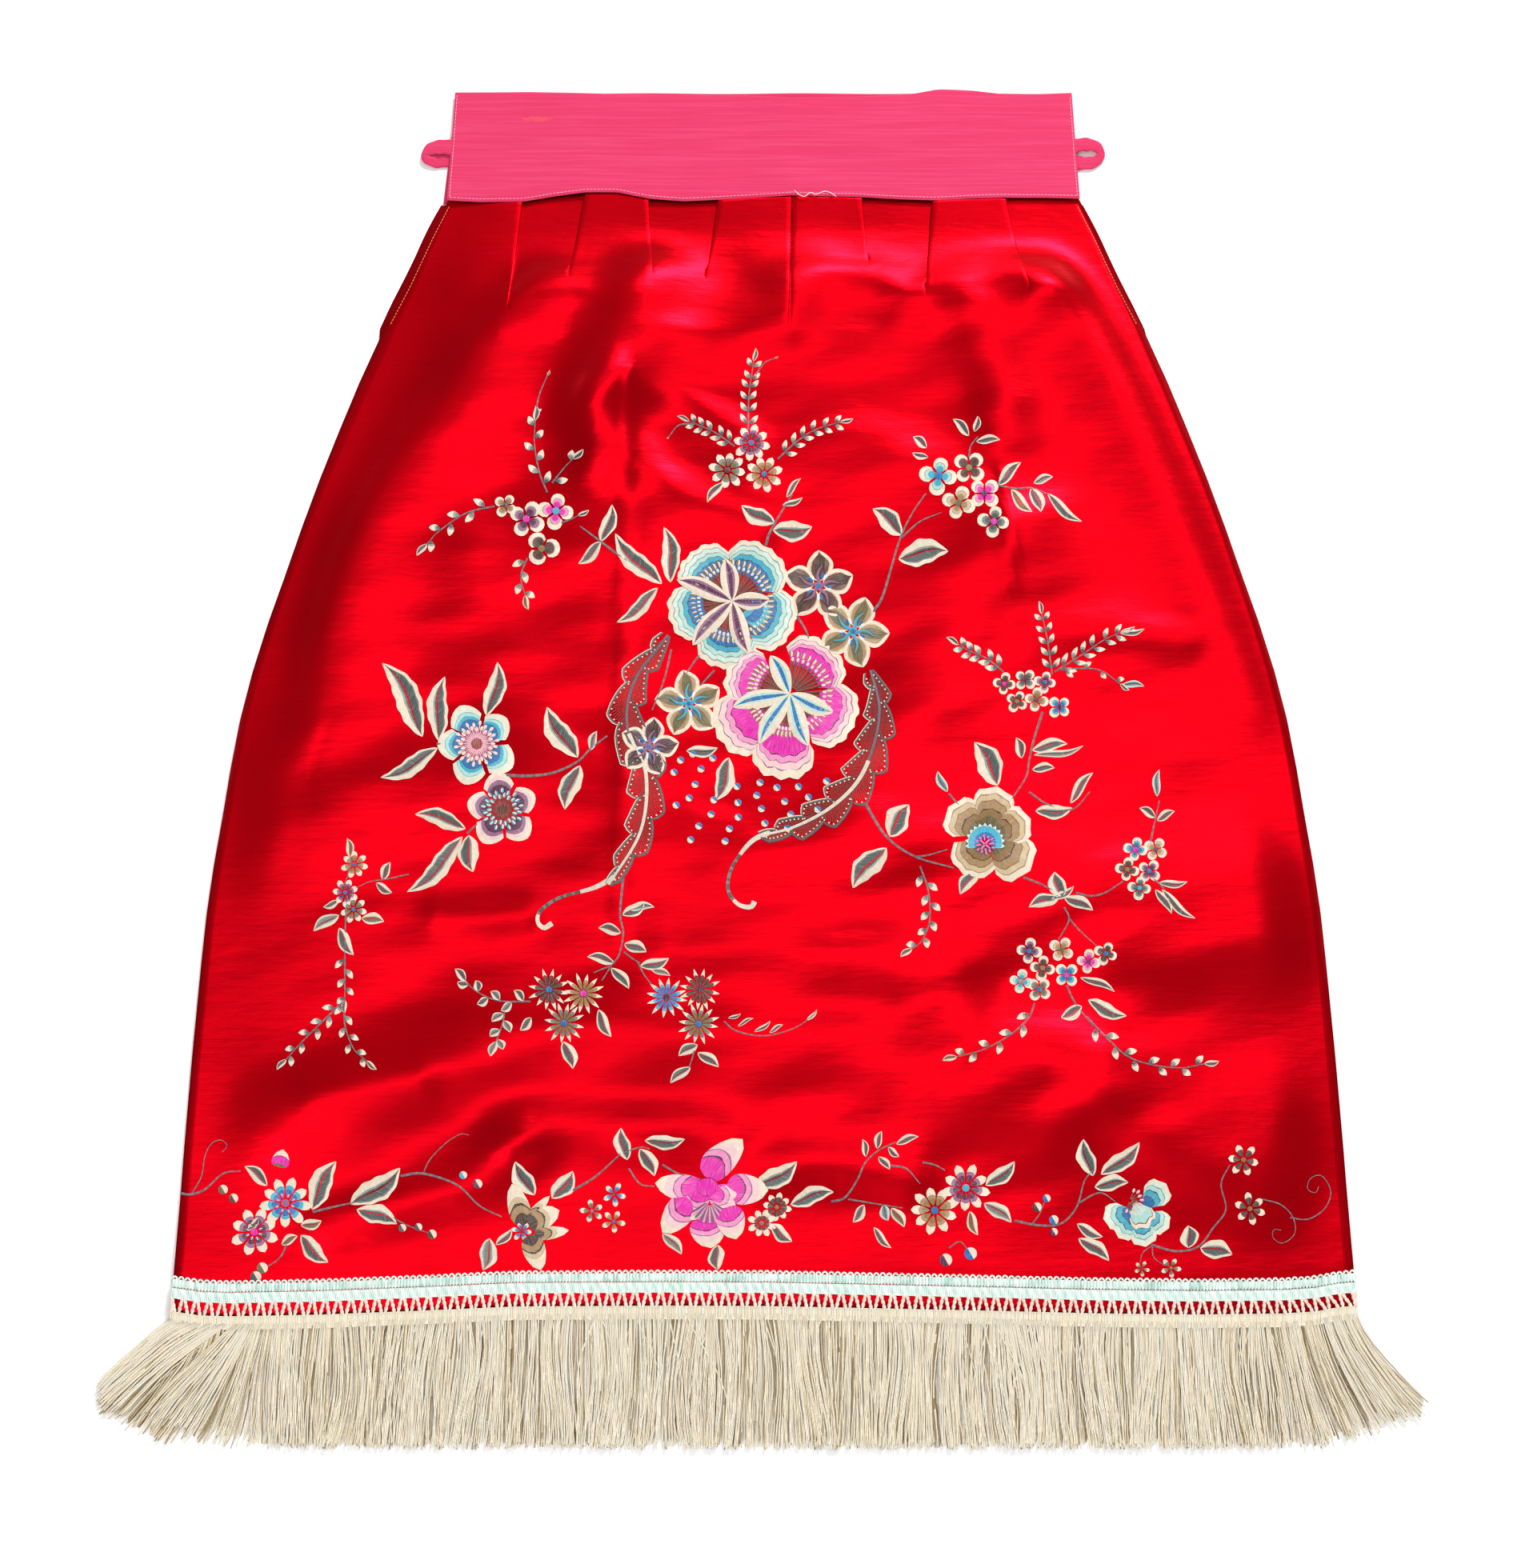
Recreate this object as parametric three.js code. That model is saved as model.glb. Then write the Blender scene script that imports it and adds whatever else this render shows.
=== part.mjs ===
// Embroidered skirt laid flat on a surface, front face up, waistband at +Y, hem fringe at -Y.
// Millimetres, +X to the right of the photograph, +Z up, z = 0 on the surface it lies on.
import * as THREE from "three";
import { mergeVertices } from "three/addons/utils/BufferGeometryUtils.js";

// Driving sizes.
const SEAM = 0.3; // space left between two pieces that are sewn together
const CLOTH = 1.0; // wall of the front panel
const BACK_CLOTH = 1.2; // wall of the back panel
const LAYER = CLOTH + 0.3; // from one layer of a pleat to the next
const UNDERLAP = 8; // depth of a pleat at the waistband
const BAND_LOW = 368; // mean height on the page of the waistband's lower edge
const BAND_TOP_WIDTH = 421;
const BAND_LOW_WIDTH = 427;
const BAND_WALL = 2.2;
const TRIM_HALF = 360; // half the length of each hem trim
const BRAID_TOP = -343.6;
const BRAID_LOW = -357.2;
const HEM = -364.9; // lower edge of both cloth panels and of the lattice
const FOOT_LOW = -373.4; // lower edge of the fringe's woven foot
const TIPS_LOW = -449; // where the fringe ends
const BRAID_WALL = 1.5;
const LATTICE_WALL = 1.0;
const LATTICE_UNITS = 92;
const RISE = BRAID_WALL + SEAM; // the panels step up by this over the trim beneath
const RISE_FROM = -332;
const RISE_TO = -340;
const WAIST_RISE = BAND_WALL - BACK_CLOTH; // and up by this to the back waistband at the top
const REST = BACK_CLOTH + SEAM + CLOTH / 2; // mid height of the front panel where it lies flat

// Half the panel's width at each height on the page.
const SIDE = [
  { y: 372, half: 212 }, { y: 368, half: 213 }, { y: 341, half: 225 }, { y: 306, half: 239 },
  { y: 274, half: 253.5 }, { y: 237, half: 268 }, { y: 203, half: 280 }, { y: 169, half: 291.5 },
  { y: 135, half: 302 }, { y: 102, half: 311.5 }, { y: 70, half: 321 }, { y: 37, half: 329.5 },
  { y: 5, half: 336 }, { y: -27, half: 340.5 }, { y: -58, half: 344 }, { y: -90, half: 348 },
  { y: -121, half: 351 }, { y: -151, half: 352.7 }, { y: -212, half: 355.5 },
  { y: -271, half: 357.5 }, { y: -330, half: 359 }, { y: HEM, half: 360 },
];

// How far the hem, with its trim, lies above or below its mean line across the skirt.
const HEM_LINE = [
  { x: -TRIM_HALF, y: -3 }, { x: -342, y: -5.6 }, { x: -325, y: -6.2 }, { x: -270, y: -5.2 },
  { x: -210, y: -2.9 }, { x: -150, y: -0.3 }, { x: -60, y: 0.2 }, { x: 0, y: 0 },
  { x: 60, y: -1.2 }, { x: 140, y: -2.9 }, { x: 200, y: -4.4 }, { x: 260, y: -5.1 },
  { x: 315, y: -4.5 }, { x: 335, y: -3.2 }, { x: 348, y: -0.8 }, { x: TRIM_HALF, y: 0.3 },
];
const HEM_LINE_FROM = -250; // above this the panels keep straight rows
const HEM_LINE_FULL = -320; // and below this they follow the hem

// The front waistband's two long edges.
const BAND_TOP_EDGE = [
  { x: -211, y: 448.7 }, { x: -159, y: 449 }, { x: -72, y: 446.9 }, { x: -25, y: 446.9 },
  { x: 18.5, y: 444.3 }, { x: 75, y: 446.1 }, { x: 104, y: 447.6 }, { x: 119, y: 450.6 },
  { x: 143, y: 449.8 }, { x: 170, y: 446.9 }, { x: 209.5, y: 448.3 },
];
const BAND_LOW_EDGE = [
  { x: -213.5, y: 367.2 }, { x: -191.75, y: 366 }, { x: -162.5, y: 366.3 }, { x: -141.35, y: 370.2 },
  { x: -120.2, y: 372.8 }, { x: -98.85, y: 372.8 }, { x: -77.5, y: 368.3 }, { x: -53.95, y: 366.6 },
  { x: -30.4, y: 367.7 }, { x: -5.6, y: 369.3 }, { x: 19.4, y: 370.8 }, { x: 43.05, y: 370.2 },
  { x: 66.5, y: 369.6 }, { x: 90.3, y: 368.2 }, { x: 114.1, y: 367.2 }, { x: 138.7, y: 368.5 },
  { x: 163.3, y: 369.2 }, { x: 188.15, y: 369.1 }, { x: 213.5, y: 368.6 },
];

// Fold edges under the waistband: x at the band, x where the fold has opened, how far down that
// is, and the side the edge looks to (+1 right, -1 left). The raised cloth is on the other side.
const PLEATS = [
  { at: -162.5, opens: -170, length: 82, looks: 1 },
  { at: -120.2, opens: -130, length: 57, looks: -1 },
  { at: -77.5, opens: -74, length: 57, looks: 1 },
  { at: -30.4, opens: -38, length: 57, looks: -1 },
  { at: 19.2, opens: 16.4, length: 93, looks: 1 },
  { at: 19.6, opens: 18.4, length: 93, looks: -1 },
  { at: 66.5, opens: 70, length: 44, looks: 1 },
  { at: 114.1, opens: 108, length: 69, looks: -1 },
  { at: 163.3, opens: 176, length: 69, looks: 1 },
];
// Distances below the waistband of the panel's rows. Each pleat's length is one of them.
const ROWS = [
  0, 14, 29, 44, 57, 69, 82, 93, 112, 135, 164, 200, 240, 285, 335, 390, 440, 490, 540, 590, 640,
  BAND_LOW - RISE_FROM, BAND_LOW - RISE_TO, BAND_LOW - HEM,
];
const SPREAD_OVER = 170; // below its end a pleat takes this far to lie open

// Soft folds of the front panel: a crest line, its height, and the half width of its steep side
// (on the left when walking along the points) and of its gentle side.
const FOLDS = [
  { high: 7, steep: 18, gentle: 45,
    line: [[-285, 2], [-280, 75], [-269, 119], [-239, 174], [-189, 254], [-153, 299]] },
  { high: 8, steep: 19, gentle: 32,
    line: [[-108, 188], [-111, 225], [-102, 251], [-88, 282], [-73, 323]] },
  { high: 4, steep: 24, gentle: 18, line: [[11, 278], [-40, 268], [-82, 251], [-111, 225]] },
  { high: 4.5, steep: 18, gentle: 24, line: [[97, 298], [78, 314], [46, 316], [24, 303]] },
  { high: 4.5, steep: 18, gentle: 24, line: [[127, 310], [148, 322], [178, 316], [188, 303]] },
  { high: 7, steep: 32, gentle: 42,
    line: [[336, 26], [306, 102], [267, 180], [227, 254], [192, 299]] },
  { high: 4, steep: 38, gentle: 42, line: [[72, -53], [90, -6], [122, 53], [152, 119]] },
  { high: 3, steep: 36, gentle: 30, line: [[163, 138], [119, 160], [66, 186], [3, 185]] },
  { high: 2.6, steep: 34, gentle: 28, line: [[-86, 113], [-133, 120], [-185, 111]] },
  { high: 5, steep: 46, gentle: 34,
    line: [[-94, -48], [-161, -33], [-227, -44], [-298, -64], [-340, -11]] },
  { high: 5, steep: 42, gentle: 36,
    line: [[347, -111], [276, -100], [175, -90], [84, -80], [3, -82], [-78, -94]] },
  { high: 6, steep: 24, gentle: 28,
    line: [[301, -291], [226, -248], [190, -214], [130, -199], [106, -160], [43, -151],
      [-17, -146], [-59, -147]] },
  { high: 3, steep: 24, gentle: 22, line: [[350, -147], [285, -144], [224, -149]] },
  { high: 5, steep: 32, gentle: 28,
    line: [[176, -251], [112, -224], [63, -207], [-107, -199], [-177, -208], [-216, -227],
      [-292, -253]] },
  { high: 3, steep: 20, gentle: 20, line: [[-148, -271], [-180, -288], [-223, -300], [-265, -312]] },
];

// The cloth's loft under the pleats, where the width let out of them stands up.
const BILLOWS = [
  { x: -100, y: 300, high: 4.5, wide: 42, tall: 55 },
  { x: -5, y: 285, high: 5, wide: 45, tall: 60 },
  { x: 62, y: 290, high: 4, wide: 38, tall: 45 },
  { x: 150, y: 285, high: 4.5, wide: 45, tall: 55 },
  { x: -190, y: 290, high: 2.5, wide: 32, tall: 60 },
  { x: 0, y: 160, high: 3, wide: 150, tall: 90 },
];

const mix = (a, b, t) => a + (b - a) * t;
const clamp = (v, low, high) => Math.min(high, Math.max(low, v));
const smooth = (v) => {
  const t = clamp(v, 0, 1);
  return t * t * (3 - 2 * t);
};
// Repeatable spread of values between -1 and 1.
const chance = (n, k) => {
  const s = Math.sin(n * 12.9898 + k * 78.233) * 43758.5453;
  return (s - Math.floor(s)) * 2 - 1;
};
function read(table, key, value, at) {
  const rising = table[table.length - 1][key] > table[0][key];
  const rows = rising ? table : [...table].reverse();
  if (at <= rows[0][key]) return rows[0][value];
  for (let i = 1; i < rows.length; i++) {
    if (at <= rows[i][key]) {
      const t = (at - rows[i - 1][key]) / (rows[i][key] - rows[i - 1][key]);
      return mix(rows[i - 1][value], rows[i][value], t);
    }
  }
  return rows[rows.length - 1][value];
}
const halfWidth = (y) => read(SIDE, "y", "half", y);
const bandLow = (x) => read(BAND_LOW_EDGE, "x", "y", x);
const bandTop = (x) => read(BAND_TOP_EDGE, "x", "y", x);
// Shift along Y that bends straight rows to the hem's line, gone again at the fringe's tips.
function hemShift(x, y) {
  const above = smooth((HEM_LINE_FROM - y) / (HEM_LINE_FROM - HEM_LINE_FULL));
  const below = clamp((y - TIPS_LOW) / (FOOT_LOW - TIPS_LOW), 0, 1);
  return read(HEM_LINE, "x", "y", x) * above * below;
}

// Height added by one fold at (x, y): a bell across the nearest point of its crest line,
// fading past both ends.
function foldHeight(fold, x, y) {
  let best = { far: Infinity, side: 1 };
  for (let i = 1; i < fold.line.length; i++) {
    const [ax, ay] = fold.line[i - 1];
    const [bx, by] = fold.line[i];
    const [dx, dy] = [bx - ax, by - ay];
    const t = clamp(((x - ax) * dx + (y - ay) * dy) / (dx * dx + dy * dy), 0, 1);
    const far = Math.hypot(x - ax - t * dx, y - ay - t * dy);
    if (far < best.far) best = { far, side: dx * (y - ay) - dy * (x - ax) };
  }
  const reach = best.side > 0 ? fold.steep : fold.gentle;
  return fold.high * Math.exp(-((best.far / reach) ** 2));
}

// Mid height of the front panel's lowest layer.
function loft(x, y) {
  const below = bandLow(x) - y;
  let z = 0;
  for (const fold of FOLDS) z += foldHeight(fold, x, y);
  for (const b of BILLOWS) {
    z += b.high * Math.exp(-(((x - b.x) / b.wide) ** 2) - ((y - b.y) / b.tall) ** 2);
  }
  const edge = smooth((halfWidth(y) - Math.abs(x)) / 42); // flat again at the side seams
  const top = smooth(below / 34); // and at the waistband
  const hem = smooth((y - RISE_FROM) / 42); // and over the trim
  const waist = WAIST_RISE * clamp((29 - below) / 15, 0, 1);
  return REST + waist + z * edge * top * hem + trimRise(y);
}
function trimRise(y) {
  return RISE * clamp((RISE_FROM - y) / (RISE_FROM - RISE_TO), 0, 1);
}

function meshOf(name, vertices, faces, material) {
  const geometry = new THREE.BufferGeometry();
  geometry.setAttribute("position", new THREE.Float32BufferAttribute(vertices.flat(), 3));
  geometry.setIndex(faces.flat());
  const mesh = new THREE.Mesh(geometry, material);
  mesh.name = name;
  return mesh;
}
// A wall between two equal grids of points, upper and lower, both given row by row from the
// waist to the hem and each row from left to right.
function wallOf(name, upper, lower, material) {
  const rows = upper.length;
  const cols = upper[0].length;
  const vertices = [...upper.flat(), ...lower.flat()];
  const up = (r, c) => r * cols + c;
  const low = (r, c) => rows * cols + r * cols + c;
  const faces = [];
  const quad = (a, b, c, d) => faces.push([a, b, c], [a, c, d]);
  for (let r = 0; r + 1 < rows; r++) {
    for (let c = 0; c + 1 < cols; c++) {
      quad(up(r, c), up(r + 1, c), up(r + 1, c + 1), up(r, c + 1));
      quad(low(r, c), low(r, c + 1), low(r + 1, c + 1), low(r + 1, c));
    }
    quad(up(r, 0), low(r, 0), low(r + 1, 0), up(r + 1, 0));
    quad(up(r, cols - 1), up(r + 1, cols - 1), low(r + 1, cols - 1), low(r, cols - 1));
  }
  for (let c = 0; c + 1 < cols; c++) {
    quad(up(0, c), up(0, c + 1), low(0, c + 1), low(0, c));
    quad(up(rows - 1, c), low(rows - 1, c), low(rows - 1, c + 1), up(rows - 1, c + 1));
  }
  return meshOf(name, vertices, faces, material);
}
const stuff = (color, roughness) =>
  new THREE.MeshStandardMaterial({ color, roughness, metalness: 0, side: THREE.DoubleSide });

const skirt = new THREE.Group();
skirt.name = "skirt";

// The front panel's columns: a flat coordinate u, the fold each belongs to and its place in that
// fold. A fold has six: above the inner edge, the edge twice, the inner edge twice and below the
// edge.
const FOLD_PLACES = [
  { part: "over", u: -8 }, { part: "edgeTop", u: -2.4 }, { part: "edgeLow", u: 1.9 },
  { part: "innerTop", u: 6.1 }, { part: "innerLow", u: 10.4 }, { part: "under", u: 16 },
];
const columns = [];
{
  let hidden = 0; // width folded away so far
  const flatEdge = [];
  for (const p of PLEATS) {
    flatEdge.push(p.at + hidden + (p.looks > 0 ? 0 : 2 * UNDERLAP));
    hidden += 2 * UNDERLAP;
  }
  const halfFlat = 213 + hidden / 2;
  const shift = hidden / 2;
  columns.push({ u: -halfFlat, part: "side", x: -213 });
  PLEATS.forEach((p, k) => {
    const places = p.looks > 0 ? FOLD_PLACES : [...FOLD_PLACES].reverse();
    const before = columns[columns.length - 1];
    const first = flatEdge[k] - shift + p.looks * places[0].u;
    if (!(p.looks < 0 && PLEATS[k - 1].at > p.at - 1)) {
      columns.push({ u: mix(before.u, first, 0.5), part: "between" });
    }
    for (const place of places) {
      columns.push({ u: flatEdge[k] - shift + p.looks * place.u, part: place.part, fold: k });
    }
  });
  const last = columns[columns.length - 1];
  columns.push({ u: mix(last.u, halfFlat, 0.5), part: "between" });
  columns.push({ u: halfFlat, part: "side", x: 213 });
}
const HALF_FLAT = columns[columns.length - 1].u;

// Where one fold's columns are at a distance d below the band: x before it spreads, and the
// upper and lower point of the wall against the lowest layer's mid height.
function foldedPlace(pleat, part, d) {
  const open = clamp(d / pleat.length, 0, 1);
  const edge = mix(pleat.at, pleat.opens, open);
  const lap = UNDERLAP * (1 - open ** 1.4);
  const inner = edge - pleat.looks * lap;
  const wall = pleat.looks * CLOTH;
  const half = CLOTH / 2;
  const shut = open < 1;
  const level = {
    over: [2 * LAYER + half, 2 * LAYER - half],
    edgeTop: [2 * LAYER + half, 2 * LAYER - half],
    edgeLow: shut ? [LAYER - half, LAYER + half] : [LAYER + 0.25, LAYER + 0.25],
    innerTop: shut ? [LAYER - half, LAYER + half] : [LAYER - 0.25, LAYER - 0.25],
    innerLow: [half, -half],
    under: [half, -half],
  }[part];
  const away = Math.max(lap, 5); // the flanking columns never close up on the edge
  const x = {
    over: edge - pleat.looks * away,
    edgeTop: edge,
    edgeLow: edge,
    innerTop: inner,
    innerLow: inner,
    under: inner + pleat.looks * away,
  }[part];
  const back = part === "over" || part === "under" ? 0 : wall;
  return { x, back, level };
}

function panelRow(d) {
  const y0 = BAND_LOW - d;
  const wide = halfWidth(y0);
  const spreadOf = (k) => smooth((d - PLEATS[k].length) / SPREAD_OVER);
  const row = columns.map((c) => {
    if (c.part === "side") return { x: Math.sign(c.x) * wide, back: 0, level: null, c };
    if (c.part === "between") return { x: null, c };
    const open = (c.u / HALF_FLAT) * wide;
    const pleat = PLEATS[c.fold];
    const w = spreadOf(c.fold);
    const folded = foldedPlace(pleat, c.part, d);
    const half = CLOTH / 2;
    const flat = [half, -half];
    const tiny = clamp((d - pleat.length) / 12, 0, 1) * 0.8;
    const rank = { over: 0, edgeTop: -1.5, edgeLow: -0.5, innerTop: 0.5, innerLow: 1.5, under: 0 };
    const x = mix(folded.x + pleat.looks * rank[c.part] * tiny, open, w);
    const shut = d <= pleat.length;
    const relax = shut ? 0 : smooth((d - pleat.length) / 40);
    const drop = { over: 1, edgeTop: 1, edgeLow: 0.66, innerTop: 0.34, innerLow: 0, under: 0 };
    const step = 2 * LAYER * drop[c.part] * (1 - smooth((d - pleat.length) / 110));
    const level = shut
      ? folded.level
      : [mix(folded.level[0], step + flat[0], relax), mix(folded.level[1], step + flat[1], relax)];
    return { x, back: folded.back * (1 - relax), level, c };
  });
  const flat = [CLOTH / 2, -CLOTH / 2];
  row.forEach((p, i) => {
    if (p.c.part === "side") p.level = flat;
    if (p.c.part !== "between") return;
    const [left, right] = [row[i - 1], row[i + 1]];
    const [a, b] = [left.level ?? flat, right.level ?? flat];
    p.x = mix(left.x, right.x, 0.5);
    p.back = 0;
    p.level = [mix(a[0], b[0], 0.5), mix(a[1], b[1], 0.5)];
  });
  // Where two pleats face each other their lower cloth is one strip.
  row.forEach((p, i) => {
    const next = row[i + 1];
    if (!next || p.c.part !== "under" || next.c.part !== "under" || next.x - p.x > 0.4) return;
    const middle = mix(p.x, next.x, 0.5);
    p.x = middle - 0.2;
    next.x = middle + 0.2;
  });
  const lift = Math.max(0, 1 - d / 80);
  const yOf = (x) => y0 + (bandLow(x) - SEAM - BAND_LOW) * lift;
  const point = (x, level) => [x, yOf(x), loft(x, yOf(x)) + level];
  return row.map((p) => ({
    upper: point(p.x, p.level[0]),
    lower: point(p.x - p.back, p.level[1]),
  }));
}
{
  const rows = ROWS.map(panelRow);
  const satin = stuff(0xc80014, 0.35);
  skirt.add(wallOf("front_panel", rows.map((r) => r.map((p) => p.upper)),
    rows.map((r) => r.map((p) => p.lower)), satin));
}

// The back panel, flat on the ground, a little wider than the front one beside the side slits.
{
  const stops = [
    365.6, 341, 306, 274, 262, 203, 135, 70, 5, -58, -121, -212, -280, RISE_FROM, RISE_TO, HEM,
  ];
  const slitEnd = 268;
  const sides = stops.map((y) => {
    const peek = y > slitEnd ? 1 : 0;
    return [-halfWidth(y) - 4 * peek, halfWidth(y) + 2 * peek];
  });
  const across = HEM_LINE.map((p) => (p.x + TRIM_HALF) / (2 * TRIM_HALF));
  const grid = (z) =>
    stops.map((y, r) => across.map((t) => [mix(...sides[r], t), y, trimRise(y) + z]));
  skirt.add(wallOf("back_panel", grid(BACK_CLOTH), grid(0), stuff(0xb40010, 0.4)));
}

// The two waistbands; the front one bows up a little in three places.
{
  const cotton = () => stuff(0xf53770, 0.85);
  const stops = BAND_LOW_EDGE.map((p) => p.x);
  const bow = (x, t) =>
    1.5 * Math.exp(-(((x - 18) / 26) ** 2)) * t + 1.0 * Math.exp(-(((x - 122) / 22) ** 2)) * t +
    0.8 * Math.exp(-(((x + 107) / 24) ** 2)) * (1 - t);
  const base = BAND_WALL + 0.5;
  const grid = (z) =>
    [1, 0.72, 0.38, 0].map((t) =>
      stops.map((x) => {
        const sx = x * mix(1, BAND_TOP_WIDTH / BAND_LOW_WIDTH, t);
        const y = mix(bandLow(x), bandTop(sx), t);
        const middle = Math.sin(Math.PI * t) * 0.5;
        return [sx, y, base + z + bow(x, t) + middle];
      }));
  skirt.add(wallOf("front_waistband", grid(BAND_WALL), grid(0), cotton()));
  const back = (z) => [449.4, 366].map((y) => [-215.8, 0, 213.6].map((x) => [x, y, z]));
  skirt.add(wallOf("back_waistband", back(BAND_WALL), back(0), cotton()));
}

// The loops at the two ends of the waistband. Each is a folded strip turned back on itself, so it
// has an eye as narrow as a slit.
function loopOf(name, outline, eye) {
  const shape = new THREE.Shape(outline.map(([x, y]) => new THREE.Vector2(x, y)));
  shape.holes.push(new THREE.Path(eye.map(([x, y]) => new THREE.Vector2(x, y))));
  const geometry = new THREE.ExtrudeGeometry(shape, { depth: 2, bevelEnabled: false });
  geometry.deleteAttribute("normal");
  geometry.deleteAttribute("uv");
  const merged = mergeVertices(geometry, 1e-4);
  merged.translate(0, 0, 1.2);
  const mesh = new THREE.Mesh(merged, stuff(0xf53770, 0.85));
  mesh.name = name;
  return mesh;
}
skirt.add(loopOf("loop_left",
  [[-216.2, 411.5], [-224, 412.6], [-231.5, 409.5], [-233.4, 402.5], [-231, 396.5], [-223, 392.6],
    [-216.2, 393.4]],
  [[-218.5, 403.6], [-228.5, 403.4], [-228.5, 401.6], [-218.5, 401.4]]));
skirt.add(loopOf("loop_right",
  [[214, 393], [222, 391.8], [228, 393.4], [231.4, 398], [232, 403.5], [230.6, 409.5], [226, 413],
    [214, 413.6]],
  [[216.5, 401.6], [226.5, 401.8], [226.5, 404], [216.5, 404.2]]));

// The hem trims: the front one lies on the front panel, the back one under the back panel, face
// down.
const FRONT_TRIM = REST + RISE + CLOTH / 2 + SEAM;
{
  const mint = () => stuff(0xcdebe1, 0.55);
  const slab = (z) => [BRAID_TOP, mix(BRAID_TOP, BRAID_LOW, 0.5), BRAID_LOW].map((y) =>
    HEM_LINE.map((p) => [p.x, y, z]));
  skirt.add(wallOf("front_braid", slab(FRONT_TRIM + BRAID_WALL), slab(FRONT_TRIM), mint()));
  skirt.add(wallOf("back_braid", slab(BRAID_WALL), slab(0), mint()));
}

// Open lattice: one cell for each unit, a plate with a triangle cut out, wide side up. Towards
// the right end the cells lean over.
const OPENING = 4.4; // width of a cut at its top
function latticeOf(name, low, high, seed) {
  const pitch = (2 * TRIM_HALF) / LATTICE_UNITS;
  const [top, bottom] = [BRAID_LOW - SEAM, HEM];
  const vertices = [];
  const faces = [];
  for (let i = 0; i < LATTICE_UNITS; i++) {
    const x0 = -TRIM_HALF + i * pitch;
    const x1 = x0 + pitch;
    const mid = (x0 + x1) / 2;
    const lean = 1.4 * smooth((i - LATTICE_UNITS + 10) / 9) + 0.25 * chance(i, seed);
    const flat = [
      [x0, top], [x1, top], [x1, bottom], [x0, bottom],
      [mid - OPENING / 2 - lean / 2, top - 0.5], [mid + OPENING / 2 - lean / 2, top - 0.5],
      [mid + lean / 2, bottom + 0.8],
    ];
    const base = vertices.length;
    for (const z of [high, low]) for (const [x, y] of flat) vertices.push([x, y, z]);
    const face = [[0, 4, 5], [0, 5, 1], [1, 5, 2], [2, 5, 6], [0, 3, 4], [3, 6, 4], [3, 2, 6]];
    for (const [a, b, c] of face) {
      faces.push([base + a, base + b, base + c], [base + 7 + a, base + 7 + c, base + 7 + b]);
    }
    const side = (a, b) => faces.push(
      [base + a, base + 7 + a, base + 7 + b], [base + a, base + 7 + b, base + b]);
    side(1, 0);
    side(3, 2);
    side(4, 5);
    side(5, 6);
    side(6, 4);
    if (i === 0) side(0, 3);
    if (i === LATTICE_UNITS - 1) side(2, 1);
  }
  return meshOf(name, vertices, faces, stuff(0xebd9c6, 0.7));
}
skirt.add(latticeOf("front_lattice", FRONT_TRIM, FRONT_TRIM + LATTICE_WALL, 1));
skirt.add(latticeOf("back_lattice", 0, LATTICE_WALL, 2));

// Fringe: a woven foot and locks of thread that leave it side by side and end apart.
const TIPS = [
  { root: -357, tip: -397, y: -429 }, { root: -350, tip: -392, y: -434 },
  { root: -341, tip: -379, y: -441 }, { root: -328, tip: -360, y: -446 },
  { root: -311, tip: -331, y: -448 }, { root: -296, tip: -301, y: -449 },
  { root: 0, tip: 0, y: -449.5 }, { root: 300, tip: 303, y: -449 },
  { root: 320, tip: 334, y: -448 }, { root: 334, tip: 357, y: -443 },
  { root: 346, tip: 379, y: -437 }, { root: 357, tip: 397, y: -430 },
];
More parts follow.
